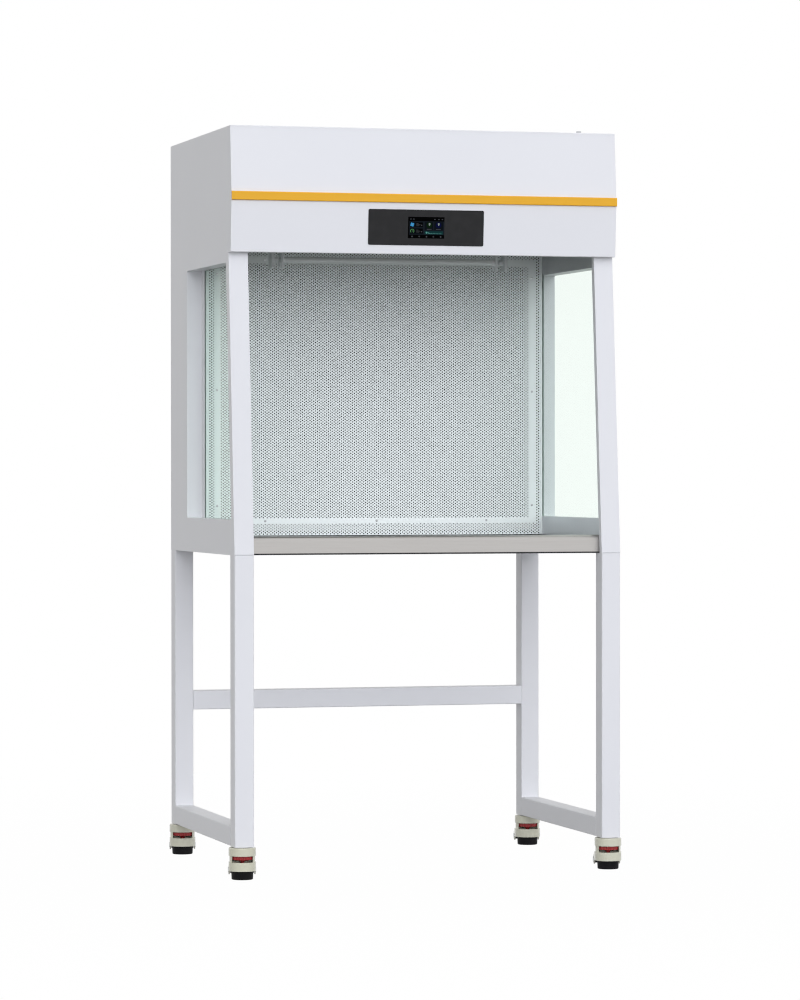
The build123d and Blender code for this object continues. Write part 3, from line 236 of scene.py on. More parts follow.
FINISHES = {
    "white_paint": finish(
        "white_powder_coat", "paint", (0.835, 0.84, 0.855),
        roughness=0.38, grain=900.0, uneven=0.05, relief=(0.16, 0.0002), dust=0.10, Specular_IOR_Level=0.2),
    "grey_frame_paint": finish(
        "frame_powder_coat", "paint", (0.84, 0.845, 0.86),
        roughness=0.40, grain=800.0, uneven=0.05, relief=(0.2, 0.0002), dust=0.14, Specular_IOR_Level=0.2),
    "diffuser_paint": finish(
        "diffuser_powder_coat", "paint", (0.905, 0.96, 0.945),
        roughness=0.42, grain=1100.0, uneven=0.05, relief=(0.1, 0.0001), dust=0.08),
    "steel": finish(
        "brushed_stainless", "brushed", (0.53, 0.515, 0.50),
        roughness=0.26, grain=900.0, uneven=0.10, relief=(0.10, 0.00008), Metallic=1.0),
    "amber_trim": finish(
        "amber_trim", "moulded", (0.87, 0.45, 0.02),
        roughness=0.42, grain=700.0, uneven=0.02, relief=(0.06, 0.0001), dust=0.05, Specular_IOR_Level=0.25),
    "dark_panel": finish(
        "dark_panel", "moulded", (0.017, 0.017, 0.018),
        roughness=0.5, grain=1500.0, uneven=0.02, relief=(0.12, 0.0001), dust=0.02, Specular_IOR_Level=0.2),
    "screen_glass": finish(
        "screen_cover", "moulded", (0.004, 0.005, 0.007),
        roughness=0.10, grain=900.0, uneven=0.01, relief=(0.02, 0.0001), dust=0.0, Specular_IOR_Level=0.2),
    "green_board": finish(
        "board_lacquer", "moulded", (0.02, 0.13, 0.05),
        roughness=0.35, grain=300.0, uneven=0.05, relief=(0.2, 0.0002), dust=0.05),
    "clear_glass": clear_glass(),
    "filter_box": finish(
        "filter_aluminium", "brushed", (0.60, 0.61, 0.62),
        roughness=0.36, grain=600.0, uneven=0.12, relief=(0.1, 0.0001), Metallic=1.0),
    # Filter paper: its dark grey is painted shade, standing in for the shadow behind the diffuser's holes.
    "filter_paper": finish(
        "filter_paper", "fibre", (0.22, 0.22, 0.21),
        roughness=0.85, grain=900.0, uneven=0.15, relief=(0.3, 0.0003)),
    "gasket_foam": finish(
        "gasket_foam", "moulded", (0.016, 0.016, 0.017),
        roughness=0.8, grain=1600.0, uneven=0.05, relief=(0.6, 0.0004), dust=0.05),
    "coarse_mat": finish(
        "coarse_filter_mat", "fibre", (0.66, 0.67, 0.66),
        roughness=0.9, grain=350.0, uneven=0.45, relief=(0.9, 0.001)),
    "galvanised": finish(
        "galvanised_sheet", "zinc", (0.56, 0.58, 0.60),
        roughness=0.34, grain=90.0, uneven=0.35, relief=(0.08, 0.0002), Metallic=1.0),
    "motor_paint": finish(
        "motor_enamel", "paint", (0.05, 0.06, 0.075),
        roughness=0.42, grain=500.0, uneven=0.08, relief=(0.3, 0.0003), dust=0.1),
    "lamp_glass": finish(
        "opal_tube", "moulded", (0.66, 0.70, 0.69),
        roughness=0.16, grain=300.0, uneven=0.01, relief=(0.0, 0.0001), dust=0.0, Coat_Weight=0.5),
    "holder_plastic": finish(
        "holder_plastic", "moulded", (0.70, 0.73, 0.73),
        roughness=0.45, grain=900.0, uneven=0.03, relief=(0.15, 0.0001), dust=0.05),
    "black_plastic": finish(
        "black_plastic", "moulded", (0.018, 0.018, 0.018),
        roughness=0.45, grain=900.0, uneven=0.04, relief=(0.2, 0.0002), dust=0.05),
    "bright_steel": finish(
        "bright_zinc_steel", "brushed", (0.63, 0.64, 0.66),
        roughness=0.22, grain=1200.0, uneven=0.10, relief=(0.1, 0.0001), Metallic=1.0),
    "ivory_cast": finish(
        "ivory_enamel", "paint", (0.66, 0.65, 0.50),
        roughness=0.22, grain=260.0, uneven=0.10, relief=(0.25, 0.0003), dust=0.10, Coat_Weight=0.7),
    "red_plastic": finish(
        "red_plastic", "moulded", (0.34, 0.008, 0.010),
        roughness=0.30, grain=900.0, uneven=0.04, relief=(0.1, 0.0001), dust=0.05),
    "wheel_nylon": finish(
        "wheel_nylon", "moulded", (0.008, 0.008, 0.009),
        roughness=0.40, grain=400.0, uneven=0.03, relief=(0.25, 0.0002), dust=0.04, Specular_IOR_Level=0.1),
    "pad_rubber": finish(
        "pad_rubber", "moulded", (0.007, 0.007, 0.008),
        roughness=0.55, grain=700.0, uneven=0.03, relief=(0.45, 0.0003), dust=0.05, Specular_IOR_Level=0.08),
}

slot_of = {part["node"]: part["material_slot"] for part in frame["record"]["subparts"]}
for name, cad_piece in frame["nodes"].items():
    cad_piece.data.materials.clear()
    cad_piece.data.materials.append(FINISHES[slot_of[name]])


def piece(name, verts, faces, slot, body="cabinet", smooth=False):
    """New mesh piece with a slot's finish, riding on a body."""
    mesh = bpy.data.meshes.new(name)
    mesh.from_pydata(verts, [], faces)
    mesh.validate()
    mesh.polygons.foreach_set("use_smooth", [smooth] * len(mesh.polygons))
    mesh.materials.append(FINISHES[slot])
    made = bpy.data.objects.new(name, mesh)
    bpy.context.scene.collection.objects.link(made)
    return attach(made, body)


# ---------------------------------------------------------------- perforated diffuser
HALF_STEP_X = 0.00509  # holes stand in rows, each row shifted by half a pitch
HALF_STEP_Z = 0.003625
HOLE_R = 0.0019
HOLE_SIDES = 6
LOWEST_HOLE = 0.0009  # from the fold to the edge of the lowest holes
COLUMNS = 178  # half steps across the sheet
ROWS = 206  # half steps up the sheet
BLANK_LEFT = (-0.4400, -0.4250)  # no hole has its centre between these, which leaves a blank frame
BLANK_RIGHT = (0.4250, 0.4455)
BLANK_LOW = (0.8865, 0.9025)
BLANK_HIGH = (1.5765, 1.5935)
RIM_FOLD = 0.0010  # radius of the bend round the sheet
RIM_SHEET = 0.0012  # thickness of the flange behind it
RIM_STEPS = 4


def is_blank(x, z):
    """True inside the unperforated frame that takes the screws."""
    upright = BLANK_LEFT[0] < x < BLANK_LEFT[1] or BLANK_RIGHT[0] < x < BLANK_RIGHT[1]
    level = BLANK_LOW[0] < z < BLANK_LOW[1] or BLANK_HIGH[0] < z < BLANK_HIGH[1]
    return upright and BLANK_LOW[0] < z < BLANK_HIGH[1] or level and BLANK_LEFT[0] < x < BLANK_RIGHT[1]


def perforated_sheet(low, high):
    """Flat sheet with six-sided holes, as faces that join each hole to its neighbours."""
    left, right = low.x + RIM_FOLD, high.x - RIM_FOLD
    bottom, top = low.z + RIM_FOLD, high.z - RIM_FOLD
    first_x = (left + right - COLUMNS * HALF_STEP_X) / 2
    first_z = bottom + HOLE_R + LOWEST_HOLE
    steep = math.atan2(HALF_STEP_Z, HALF_STEP_X)
    middle = (steep + math.pi / 2) / 2
    # a hole's corners 0 to 5: right, upper right, upper left, left, lower left, lower right
    angles = (0, middle, math.pi - middle, math.pi, math.pi + middle, -middle)
    verts, faces, start = [], [], {}
    for i in range(COLUMNS + 1):
        for j in range(i % 2, ROWS + 1, 2):
            x, z = first_x + i * HALF_STEP_X, first_z + j * HALF_STEP_Z
            start[i, j] = len(verts)
            verts += [(x + HOLE_R * math.cos(a), low.y, z + HOLE_R * math.sin(a)) for a in angles]
            if is_blank(x, z):
                faces.append([start[i, j] + k for k in range(HOLE_SIDES)])
    for (i, j), a in start.items():
        above = start.get((i, j + 2))
        upper, lower = start.get((i + 1, j + 1)), start.get((i + 1, j - 1))
        left_up = start.get((i - 1, j + 1))
        if above is not None:
            faces.append([a + 2, a + 1, above + 5, above + 4])
        if upper is not None:
            faces.append([a + 1, a, upper + 4, upper + 3])
        if lower is not None:
            faces.append([a + 5, lower + 3, lower + 2, a])
        if upper is not None and lower is not None:
            faces.append([a, lower + 2, upper + 4])
        if above is not None and upper is not None:
            faces.append([a + 1, upper + 3, above + 5])
        if above is not None and left_up is not None:
            faces.append([a + 2, above + 4, left_up])
    return verts, faces, start, (left, right, bottom, top)


def edge_bands(verts, faces, start, y, rectangle):
    """Closes the sheet between its outermost holes and its straight edges, then at the four corners."""
    left, right, bottom, top = rectangle
    chains = {"left": [], "right": [], "bottom": [], "top": []}
    for j in range(0, ROWS + 1, 2):
        chains["left"] += [start[0, j] + k for k in (4, 3, 2)]
        chains["right"] += [start[COLUMNS, j] + k for k in (5, 0, 1)]
    for i in range(0, COLUMNS + 1, 2):
        chains["bottom"] += [start[i, 0] + k for k in (3, 4, 5, 0)]
        chains["top"] += [start[i, ROWS] + k for k in (3, 2, 1, 0)]
        if i < COLUMNS:
            chains["bottom"] += [start[i + 1, 1] + k for k in (4, 5)]
            chains["top"] += [start[i + 1, ROWS - 1] + k for k in (2, 1)]
    for side, chain in chains.items():
        chain = chain[1:-1]
        if side in ("left", "right"):
            outer = [(left if side == "left" else right, y, verts[k][2]) for k in chain]
        else:
            outer = [(verts[k][0], y, bottom if side == "bottom" else top) for k in chain]
        base = len(verts)
        verts += outer
        for k in range(len(chain) - 1):
            face = [chain[k], chain[k + 1], base + k + 1, base + k]
            faces.append(face if side in ("left", "top") else face[::-1])
        chains[side] = (chain, base)
    for side, end, x, z in (("left", "bottom", left, bottom), ("left", "top", left, top),
                            ("right", "bottom", right, bottom), ("right", "top", right, top)):
        upright_chain, upright_base = chains[side]
        level_chain, level_base = chains[end]
        at_top, at_right = end == "top", side == "right"
        u = len(upright_chain) - 1 if at_top else 0
        v = len(level_chain) - 1 if at_right else 0
        corner = len(verts)
        verts.append((x, y, z))
        face = [upright_chain[u], upright_base + u, corner, level_base + v, level_chain[v]]
        faces.append(face if at_top != at_right else face[::-1])


def folded_rim(verts, faces, low, high):
    """Rounded bend and flange that run round the sheet."""
    loops = []
    for k in range(RIM_STEPS + 1):
        a = math.pi / 2 * k / RIM_STEPS
        loops.append((RIM_FOLD * (1 - math.sin(a)), RIM_FOLD * (1 - math.cos(a))))
    depth = high.y - low.y
    loops += [(0, depth), (RIM_SHEET, depth), (RIM_SHEET, RIM_FOLD)]
    rings = []
    for inset, back in loops:
        base = len(verts)
        rings.append(base)
        for x, z in ((low.x + inset, low.z + inset), (high.x - inset, low.z + inset),
                     (high.x - inset, high.z - inset), (low.x + inset, high.z - inset)):
            verts.append((x, low.y + back, z))
    for near, far in zip(rings, rings[1:]):
        for k in range(4):
            n = (k + 1) % 4
            faces.append([near + k, far + k, far + n, near + n])


def diffuser_sheet():
    """Perforated front of the air outlet, with its folded rim."""
    low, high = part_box("diffuser")
    verts, faces, start, rectangle = perforated_sheet(low, high)
    edge_bands(verts, faces, start, low.y, rectangle)
    folded_rim(verts, faces, low, high)
    made = piece("diffuser_sheet", verts, faces, "diffuser_paint")
    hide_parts("diffuser")


diffuser_sheet()


# ---------------------------------------------------------------- small pieces
def ring_of(section, centre, along, turns=48):
    """Vertices and faces of a section of (distance along the axis, radius) turned round an axis."""
    axis = Vector(along).normalized()
    first = axis.orthogonal().normalized()
    second = axis.cross(first)
    verts, faces = [], []
    for distance, radius in section:
        for k in range(turns):
            a = 2 * math.pi * k / turns
            spoke = first * math.cos(a) + second * math.sin(a)
            verts.append(Vector(centre) + axis * distance + spoke * radius)
    for row in range(len(section) - 1):
        for k in range(turns):
            n = (k + 1) % turns
            faces.append([row * turns + k, row * turns + n, (row + 1) * turns + n, (row + 1) * turns + k])
    return verts, faces


def joined(parts):
    """One list of vertices and faces out of several."""
    verts, faces = [], []
    for part_verts, part_faces in parts:
        faces += [[k + len(verts) for k in face] for face in part_faces]
        verts += part_verts
    return verts, faces


def lamp_caps():
    """Crimped metal caps on both ends of the lamp tube."""
    low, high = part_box("lamp_tube")
    centre = (0, (low.y + high.y) / 2, (low.z + high.z) / 2)
    radius = (high.z - low.z) / 2
    proud = radius + 0.00025
    holder = 0.027  # the cap ends this far inside the holder's outer face
    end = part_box("lamp_holders")[1].x - holder
    section = [(end - 0.0103, radius), (end - 0.010, proud), (end - 0.007, proud),
               (end - 0.0065, radius + 0.0001), (end - 0.006, proud),
               (end, radius + 0.0002), (end + 0.0002, radius - 0.002)]
    rings = [ring_of([(side * along, r) for along, r in section], centre, (1, 0, 0)) for side in (-1, 1)]
    piece("lamp_caps", *joined(rings), "filter_box", smooth=True)


lamp_caps()


CROSS_WIDTH = 0.16  # half the width of a cross recess's arms, as a share of the head's radius
CROSS_REACH = 0.58
CROSS_DEPTH = 0.45  # as a share of the head's height


def pan_head(centre, outward, radius, height):
    """Domed screw head with a cross recess, facing outward along Y."""
    rings, turns = 12, 48
    verts, faces = [], []
    for row in range(rings + 1):
        share = row / rings
        for k in range(turns):
            a = 2 * math.pi * k / turns
            x, z = share * radius * math.cos(a), share * radius * math.sin(a)
            dome = height * math.sqrt(max(0.0, 1 - 0.75 * share * share)) if row < rings else 0.0
            across, along = sorted((abs(x), abs(z)))
            in_cross = across < CROSS_WIDTH * radius and along < CROSS_REACH * radius
            depth = dome - CROSS_DEPTH * height * (1 - share) if in_cross else dome
            verts.append((centre[0] + x, centre[1] + outward * depth, centre[2] + z))
    for row in range(rings):
        for k in range(turns):
            n = (k + 1) % turns
            face = [row * turns + k, row * turns + n, (row + 1) * turns + n, (row + 1) * turns + k]
            faces.append(face if outward < 0 else face[::-1])
    return verts, faces


def heads(name, places, seat, outward, radius, height):
    """Screw heads at their places (x, z), all on one plane across Y."""
    parts = [pan_head((x, seat, z), outward, radius, height) for x, z in places]
    return piece(name, *joined(parts), "bright_steel")


def cover_screw_heads():
    """Two columns of screws that hold the rear cover."""
    low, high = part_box("cover_screws")
    radius, in_column = 0.005, 5
    step = (high.z - low.z - 2 * radius) / (in_column - 1)
    rows = [low.z + radius + k * step for k in range(in_column)]
    places = [(x, z) for x in (low.x + radius, high.x - radius) for z in rows]
    made = heads("cover_screw_heads", places, low.y, 1, radius, high.y - low.y)
    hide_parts("cover_screws")


cover_screw_heads()


def diffuser_screw_heads():
    """Screws in the blank frame of the diffuser, three along each side."""
    low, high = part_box("diffuser_screws")
    inset = 0.0045  # from the outer side of the solid heads to their centres
    radius, step = 0.0032, 0.3055
    middle = (low.z + high.z) / 2
    places = [(x, z) for x in (-step, 0, step) for z in (low.z + inset, high.z - inset)]
    places += [(x, middle + k * step) for x in (low.x + inset, high.x - inset) for k in (-1, 0, 1)]
    made = heads("diffuser_screw_heads", places, high.y, -1, radius, high.y - low.y)
    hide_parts("diffuser_screws")


diffuser_screw_heads()


def worktop_gap_shade_strip():
    """Black strip in the gap between the worktop's nosing and the floor of the cabinet: painted shade that
    stands in for the dark of that gap.
    """
    low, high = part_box("worktop")
    recess, reach, gap = 0.0003, 0.006, 0.0038
    front, back = low.y + recess, low.y + reach
    bottom, top = low.z - gap, low.z
    chamfer, end_gap = 0.0012, 0.0004
    section = [(front + 0.0004, top), (front, top - 0.0008), (front, bottom + chamfer),
               (front + chamfer, bottom), (back, bottom), (back, top)]
    count = len(section)
    verts = [(x, y, z) for x in (low.x + end_gap, high.x - end_gap) for y, z in section]
    faces = [[k, (k + 1) % count, count + (k + 1) % count, count + k] for k in range(count)]
    faces += [list(range(count))[::-1], list(range(count, 2 * count))]
    # the strip's black is painted shade for the unlit gap under the nosing
    piece("worktop_gap_shade_strip", verts, faces, "gasket_foam")


worktop_gap_shade_strip()


def plate_of(corners, patches, x, thickness):
    """Plate across X out of patches of (y, z) corners, with its outer edges closed."""
    count = len(corners)
    verts = [(x, y, z) for y, z in corners] + [(x + thickness, y, z) for y, z in corners]
    faces = [list(patch) for patch in patches] + [[k + count for k in patch][::-1] for patch in patches]
    sides = [(patch[k - 1], patch[k]) for patch in patches for k in range(len(patch))]
    faces += [[a, b, b + count, a + count] for a, b in sides if (b, a) not in sides]
    return verts, faces


def rectangle_plate(start, end, low, high, x, thickness):
    """Plate across X that fills a rectangle of Y and Z."""
    corners = [(start, low), (end, low), (end, high), (start, high)]
    return plate_of(corners, [(0, 1, 2, 3)], x, thickness)


LINER = 0.0005  # thickness of the steel sheets inside the chamber
TOUCH_FREE = 0.98  # share of its thickness that a wall liner takes, which keeps it off the pane
CLEAR = 0.0002  # hairline gap that keeps a thin sheet off its neighbour
BEHIND = 0.001  # gap between the liners and what they end at
GLAZING = 0.003  # the pane reaches this far past the window
POST_LEAN = 64 / 764  # how far the front posts lean back for their height
POST_FOOT = 0.815  # height at which the posts' front face starts
POST_DEPTH = 0.0185  # from the posts' front face back to the liner
WINDOW_INSET = 0.0115  # from the liner's front edge back to the window
WORKTOP_LIP = 0.034  # depth of the worktop's raised front edge
COVER = 0.0008  # thickness of the covers on the outer faces of the panes
SIDES = (("left", -1), ("right", 1))


def wall_shade_liner_outline():
    """Corners (y, z) of a wall liner and the patches between them, left open at the window."""
    pane_low, pane_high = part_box("side_glass_right")
    worktop_low, worktop_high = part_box("worktop")
    bottom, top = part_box("cabinet_floor")[1].z + 2 * CLEAR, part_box("ceiling_deck")[0].z - BEHIND
    lip, lip_top = worktop_low.y + WORKTOP_LIP, worktop_high.z + 2 * CLEAR
    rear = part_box("diffuser")[0].y - BEHIND
    low, high = pane_low.z + GLAZING, pane_high.z - GLAZING
    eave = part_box("front_fascia")[0].z - BEHIND
    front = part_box("front_post_right")[0].y + POST_DEPTH - POST_FOOT * POST_LEAN

    def edge(z, inset=0):
        return front + POST_LEAN * z + inset

    corners = [(edge(lip_top), lip_top), (rear, bottom), (rear, low), (edge(low, WINDOW_INSET), low),
               (edge(high, WINDOW_INSET), high), (edge(eave), eave), (rear, high), (rear, top),
               (edge(eave), top), (lip, lip_top), (lip + lip_top - bottom, bottom)]
    below, before, above = (0, 9, 10, 1, 2, 3), (0, 3, 4, 5), (5, 4, 6, 7, 8)
    return corners, (below, before, above)


def wall_shade_liners():
    """Steel sheets on the inner faces of the side walls, and covers over the rear ends of the panes. The
    sheets are partly a real liner and partly painted shade: their darker tone stands in for the shade on the
    inner walls.
    """
    pane_low, pane_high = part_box("side_glass_right")
    corners, patches = wall_shade_liner_outline()
    start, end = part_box("diffuser")[0].y - BEHIND + CLEAR, pane_high.y - GLAZING - CLEAR
    low, high = pane_low.z + GLAZING, pane_high.z - GLAZING
    for side, sign in SIDES:
        liner = plate_of(corners, patches, sign * (pane_low.x - LINER), sign * LINER * TOUCH_FREE)
        # the liner is partly a real steel sheet and partly painted shade that darkens the inner walls
        piece(f"wall_shade_liner_{side}", *liner, "bright_steel")
        cover = rectangle_plate(start, end, low, high, sign * (pane_high.x + CLEAR), sign * COVER)
        piece(f"window_end_cover_{side}", *cover, "grey_frame_paint")


wall_shade_liners()


def diffuser_side_seals():
    """Painted strips that close the gaps between the diffuser and the side walls."""
    sheet_low, sheet_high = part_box("diffuser")
    gap_start, gap_end = sheet_high.x + CLEAR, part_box("side_glass_right")[0].x - LINER - CLEAR / 2
    near, far = sheet_low.y + 2 * CLEAR, sheet_high.y - 3 * CLEAR
    short = 0.0005  # how far the strips end before the sheet does
    low, high = sheet_low.z + short, sheet_high.z - short
    for side, sign in SIDES:
        strip = rectangle_plate(near, far, low, high, sign * gap_start, sign * (gap_end - gap_start))
        piece(f"diffuser_seal_{side}", *strip, "diffuser_paint")


diffuser_side_seals()


def ceiling_shade_liner():
    """Steel sheet under the ceiling deck, from the fascia back to the diffuser. It makes the ceiling dark:
    painted shade for the shadow under the deck.
    """
    hang, side_gap, front_gap = 0.0008, 0.0012, 0.0005
    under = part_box("ceiling_deck")[0].z - hang
    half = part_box("side_glass_right")[0].x - side_gap
    front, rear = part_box("front_fascia")[1].y + front_gap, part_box("diffuser")[0].y - BEHIND
    sheet = rectangle_plate(front, rear, under, under + LINER, -half, 2 * half)
    # the dark steel is painted shade standing in for the shadow under the ceiling
    piece("ceiling_shade_liner", *sheet, "steel")


ceiling_shade_liner()


# ---------------------------------------------------------------- picture on the screen
SCREEN_CENTRE = Vector((0, -0.3367, 1.6465))
SCREEN_UP = Vector((0, -0.0767, 0.99705))
SCREEN_OUT = Vector((0, -0.99705, -0.0767))
SCREEN_SIZE = (0.0964, 0.0549)
SCREEN_LAYER = 0.00004  # how far each layer of the picture lies over the one below
MM = 0.001
PIXELS = {
    "black": (0.0006, 0.0006, 0.0008),
    "slate": (0.010, 0.014, 0.020),
    "dark_slate": (0.004, 0.006, 0.009),
    "blue": (0.045, 0.30, 0.62),
    "green": (0.10, 0.30, 0.10),
    "deep_green": (0.003, 0.014, 0.004),
    "navy": (0.003, 0.005, 0.035),
    "teal": (0.006, 0.034, 0.036),
    "pale_teal": (0.10, 0.30, 0.27),
    "pale": (0.24, 0.28, 0.27),
    "grey": (0.065, 0.07, 0.08),
}


def glowing(name, colour):
    """Lit part of a display: a black face that gives off its own colour, a little uneven."""
    material = bpy.data.materials.new(name)
    material.use_nodes = True
    tree = material.node_tree
    surface = tree.nodes["Principled BSDF"]
    surface.inputs["Base Color"].default_value = (0.0, 0.0, 0.0, 1)
    surface.inputs["Roughness"].default_value = 0.12
    surface.inputs["Specular IOR Level"].default_value = 0.01
    surface.inputs["Emission Strength"].default_value = 1.0
    dim = tuple(0.8 * part for part in colour)
    uneven = mix_colours(tree, noise(tree, 900.0), (*colour, 1), (*dim, 1))
    feed(tree, surface.inputs["Emission Color"], uneven)
    return material


def screen_picture():
    """Home page: bars at top and bottom, round lamp keys, a fan, a gauge and a graph."""
    kinds = list(PIXELS)
    verts, faces, kind_of_face = [], [], []

    def shape(kind, points, level):
        """Flat shape of points in millimetres from the middle of the screen."""
        start = len(verts)
        lift = SCREEN_OUT * (level * SCREEN_LAYER)
        for x, y in points:
            verts.append(SCREEN_CENTRE + Vector((x * MM, 0, 0)) + SCREEN_UP * (y * MM) + lift)
        faces.append(list(range(start, len(verts))))
        kind_of_face.append(kinds.index(kind))

    def bar(kind, left, bottom, right, top, level=3):
        shape(kind, [(left, bottom), (right, bottom), (right, top), (left, top)], level)

    def dot(kind, x, y, radius, level=3, turns=24):
        ring = [2 * math.pi * k / turns for k in range(turns)]
        shape(kind, [(x + radius * math.cos(a), y + radius * math.sin(a)) for a in ring], level)

    def arc(kind, x, y, inner, outer, start, end, level=3, steps=20):
        turn = [math.radians(start + (end - start) * k / steps) for k in range(steps + 1)]
        for a, b in zip(turn, turn[1:]):
            shape(kind, [(x + r * math.cos(t), y + r * math.sin(t)) for r, t in
                         ((inner, a), (outer, a), (outer, b), (inner, b))], level)

    margin = 0.3
    half_w, half_h = (side / (2 * MM) - margin for side in SCREEN_SIZE)
    bar("slate", -half_w, -half_h, half_w, half_h, 1)
    bar("black", -half_w, 16.2, half_w, half_h, 2)
    bar("black", -half_w, -half_h, half_w, -18.2, 2)
    bar("black", -half_w, -half_h, 3 - half_w, half_h, 2)
    bar("dark_slate", -44, 0.8, -8.5, 14.6, 2)
    bar("dark_slate", -44, -16.6, -8.5, -1.0, 2)
    bar("dark_slate", -4.2, -6.4, 18.4, 14.6, 2)
    bar("dark_slate", 21.0, -6.4, 44.8, 14.6, 2)
    bar("teal", -4.2, -16.8, 44.8, -8.6, 2)
    for y in (7.6, -8.6):
        bar("black", -28.5, y - 5, -9.5, y + 5)
        for k, long in enumerate((8, 11, 6)):
            bar("grey", -26.5, y - 3.4 + 2.6 * k, -26.5 + long, y - 2.4 + 2.6 * k, 4)
        dot("grey", -12.4, y - 1.6, 1.5, 4)
    for turn in range(4):
        a = math.radians(90 * turn + 30)
        x, y = -37.2 + 3.0 * math.cos(a), 7.6 + 3.0 * math.sin(a)
        dot("blue", x, y, 2.5)
    dot("pale", -37.2, 7.6, 1.0, 4)
    arc("green", -37.0, -8.8, 4.0, 5.2, -50, 230)
    bar("green", -37.6, -9.4, -34.4, -8.2)
    for x, kind in ((8.0, "deep_green"), (32.4, "navy")):
        dot(kind, x, 6.8, 7.2)
        arc(kind, x, 6.8, 7.5, 7.9, 0, 360)
        dot("pale", x + 0.6, 9.6, 2.5, 4)
        bar("pale", x - 0.9, 5.2, x + 1.7, 7.4, 4)
        bar("grey", x - 6.5, -4.6, x + 6.0, -3.3)
    dot("pale_teal", 1.2, -12.6, 2.4)
    for k in range(16):
        rise = 0.8 + 3.0 * abs(math.cos(0.9 * k)) / (1 + 0.35 * k)
        bar("pale_teal", 6.0 + 2.2 * k, -15.4, 7.2 + 2.2 * k, -15.4 + rise)
    for x in (-41.0, -33.2):
        arc("grey", x, 21.4, 0.9, 1.7, 0, 360)
    for x in (22.8, 33.4, 42.8):
        bar("grey", x - 2.2, 20.4, x + 1.6, 22.2)
    for place, x in enumerate((-37.2, -18.3, 1.0, 19.3, 38.6)):
        if place % 2:
            arc("grey", x, -22.6, 0.8, 1.9, 0, 360)
        else:
            shape("grey", [(x - 2.4, -22.8), (x + 2.4, -22.8), (x, -20.4)], 3)
            bar("grey", x - 1.6, -24.6, x + 1.6, -22.8)
    made = piece("screen_picture", verts, faces, "screen_glass")
    made.data.materials.clear()
    for kind in kinds:
        made.data.materials.append(glowing("pixels_" + kind, PIXELS[kind]))
    made.data.polygons.foreach_set("material_index", kind_of_face)


screen_picture()

# ---------------------------------------------------------------- camera, floor and light
camera = bpy.data.objects.new("camera", bpy.data.cameras.new("camera"))
bpy.context.scene.collection.objects.link(camera)
camera.location = (-2.8024, -10.0541, 1.0337)
camera.rotation_euler = (math.radians(89.542), math.radians(0.035), math.radians(-15.706))
camera.data.lens = 142.83
camera.data.sensor_width = 36.0
camera.data.clip_end = 200.0
bpy.context.scene.camera = camera
bpy.context.scene.view_settings.view_transform = "Standard"
bpy.context.scene.cycles.filter_width = 1.2  # with no prefilter, this keeps the small holes sharp
bpy.context.scene.cycles.denoising_prefilter = "NONE"

GLOW_RISE = math.radians(8)
GLOW = 2.78
GLOW_SPREAD = 5.0  # the higher, the narrower the glow
AROUND = 0.52
FLOOR_RADIUS = 40.0
FLOOR_NEAR = 0.9  # beyond FLOOR_FAR, the floor can't be told from the white behind it
FLOOR_FAR = 3.0


def seen_directly(tree):
    """1 where the backdrop is looked at, also through a pane or in a mirror, and 0 where it gives light."""
    path = node(tree, "ShaderNodeLightPath")
    through = calculate(tree, "MAXIMUM", path.outputs["Is Camera Ray"], path.outputs["Is Transmission Ray"])
    looked_at = calculate(tree, "MAXIMUM", through, path.outputs["Is Glossy Ray"])
    unscattered = calculate(tree, "LESS_THAN", path.outputs["Diffuse Depth"], 0.5)
    return calculate(tree, "MULTIPLY", looked_at, unscattered)


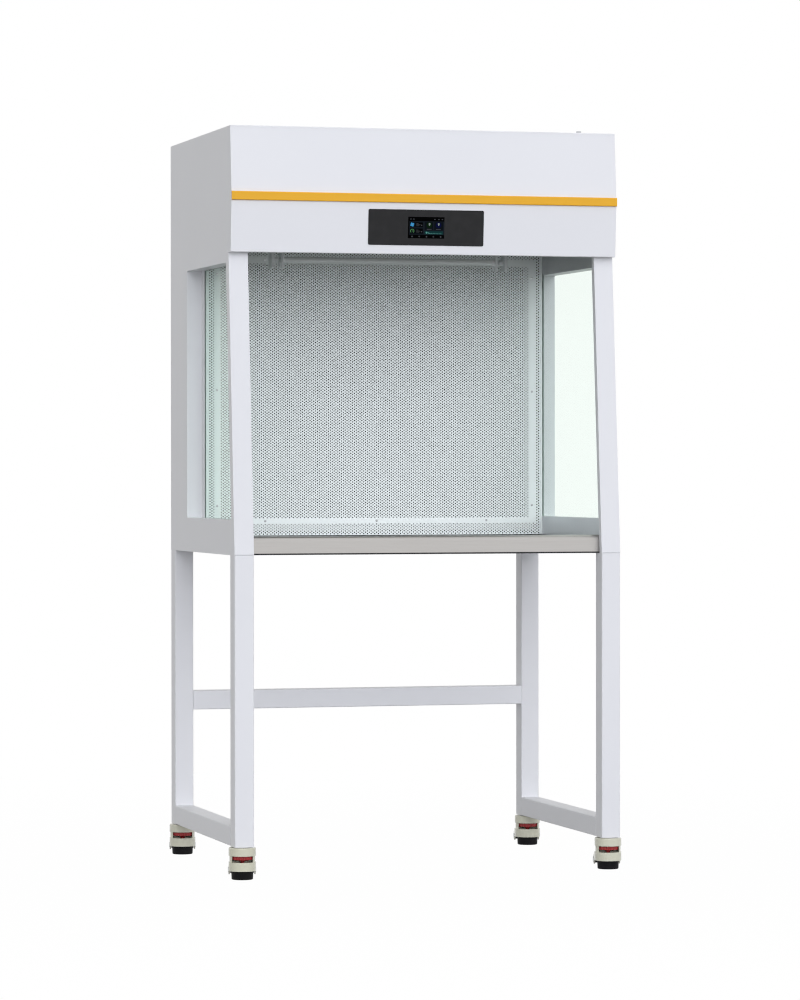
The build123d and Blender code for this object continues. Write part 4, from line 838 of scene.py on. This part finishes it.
def floor():
    """Round pale floor that turns into plain white well away from the piece."""
    mesh = bpy.data.meshes.new("floor")
    disc = bmesh.new()
    bmesh.ops.create_circle(disc, cap_ends=True, segments=96, radius=FLOOR_RADIUS)
    disc.to_mesh(mesh)
    disc.free()
    made = bpy.data.objects.new("floor", mesh)
    bpy.context.scene.collection.objects.link(made)
    material = bpy.data.materials.new("pale_floor")
    material.use_nodes = True
    tree = material.node_tree
    surface = tree.nodes["Principled BSDF"]
    surface.inputs["Base Color"].default_value = (0.33, 0.33, 0.33, 1)
    surface.inputs["Roughness"].default_value = 0.9
    place = node(tree, "ShaderNodeTexCoord").outputs["Object"]
    away = node(tree, "ShaderNodeVectorMath", {0: place}, operation="LENGTH").outputs["Value"]
    glow = node(tree, "ShaderNodeEmission", {"Color": (1, 1, 1, 1), "Strength": 1.0})
    whiteness = spread(tree, away, FLOOR_NEAR, FLOOR_FAR, 0.99, 1.0)
    share = calculate(tree, "MULTIPLY", whiteness, seen_directly(tree))
    choice = node(tree, "ShaderNodeMixShader", {0: share, 1: surface.outputs[0], 2: glow.outputs[0]})
    tree.links.new(choice.outputs[0], tree.nodes["Material Output"].inputs[0])
    mesh.materials.append(material)


floor()


def studio_light():
    """Even pale surroundings with a broad soft glow in front and above, and plain white behind the piece."""
    world = bpy.data.worlds.new("studio")
    bpy.context.scene.world = world
    world.use_nodes = True
    tree = world.node_tree
    towards = node(tree, "ShaderNodeTexCoord").outputs["Generated"]
    front_up = (0, -math.cos(GLOW_RISE), math.sin(GLOW_RISE))
    turned = node(tree, "ShaderNodeVectorMath", {0: towards, 1: front_up}, operation="DOT_PRODUCT")
    facing = calculate(tree, "MAXIMUM", turned.outputs["Value"], 0.0)
    glow = calculate(tree, "MULTIPLY", calculate(tree, "POWER", facing, GLOW_SPREAD), GLOW)
    around = tree.nodes["Background"]
    around.inputs["Color"].default_value = (1.0, 1.0, 1.0, 1)
    around.inputs["Strength"].default_value = AROUND
    soft_glow = node(tree, "ShaderNodeBackground", {"Color": (0.98, 1.0, 1.09, 1), "Strength": glow})
    both = node(tree, "ShaderNodeAddShader", {0: around.outputs[0], 1: soft_glow.outputs[0]})
    white = node(tree, "ShaderNodeBackground", {"Color": (1, 1, 1, 1), "Strength": 1.0})
    lights = {0: seen_directly(tree), 1: both.outputs[0], 2: white.outputs[0]}
    choice = node(tree, "ShaderNodeMixShader", lights)
    tree.links.new(choice.outputs[0], tree.nodes["World Output"].inputs[0])


studio_light()
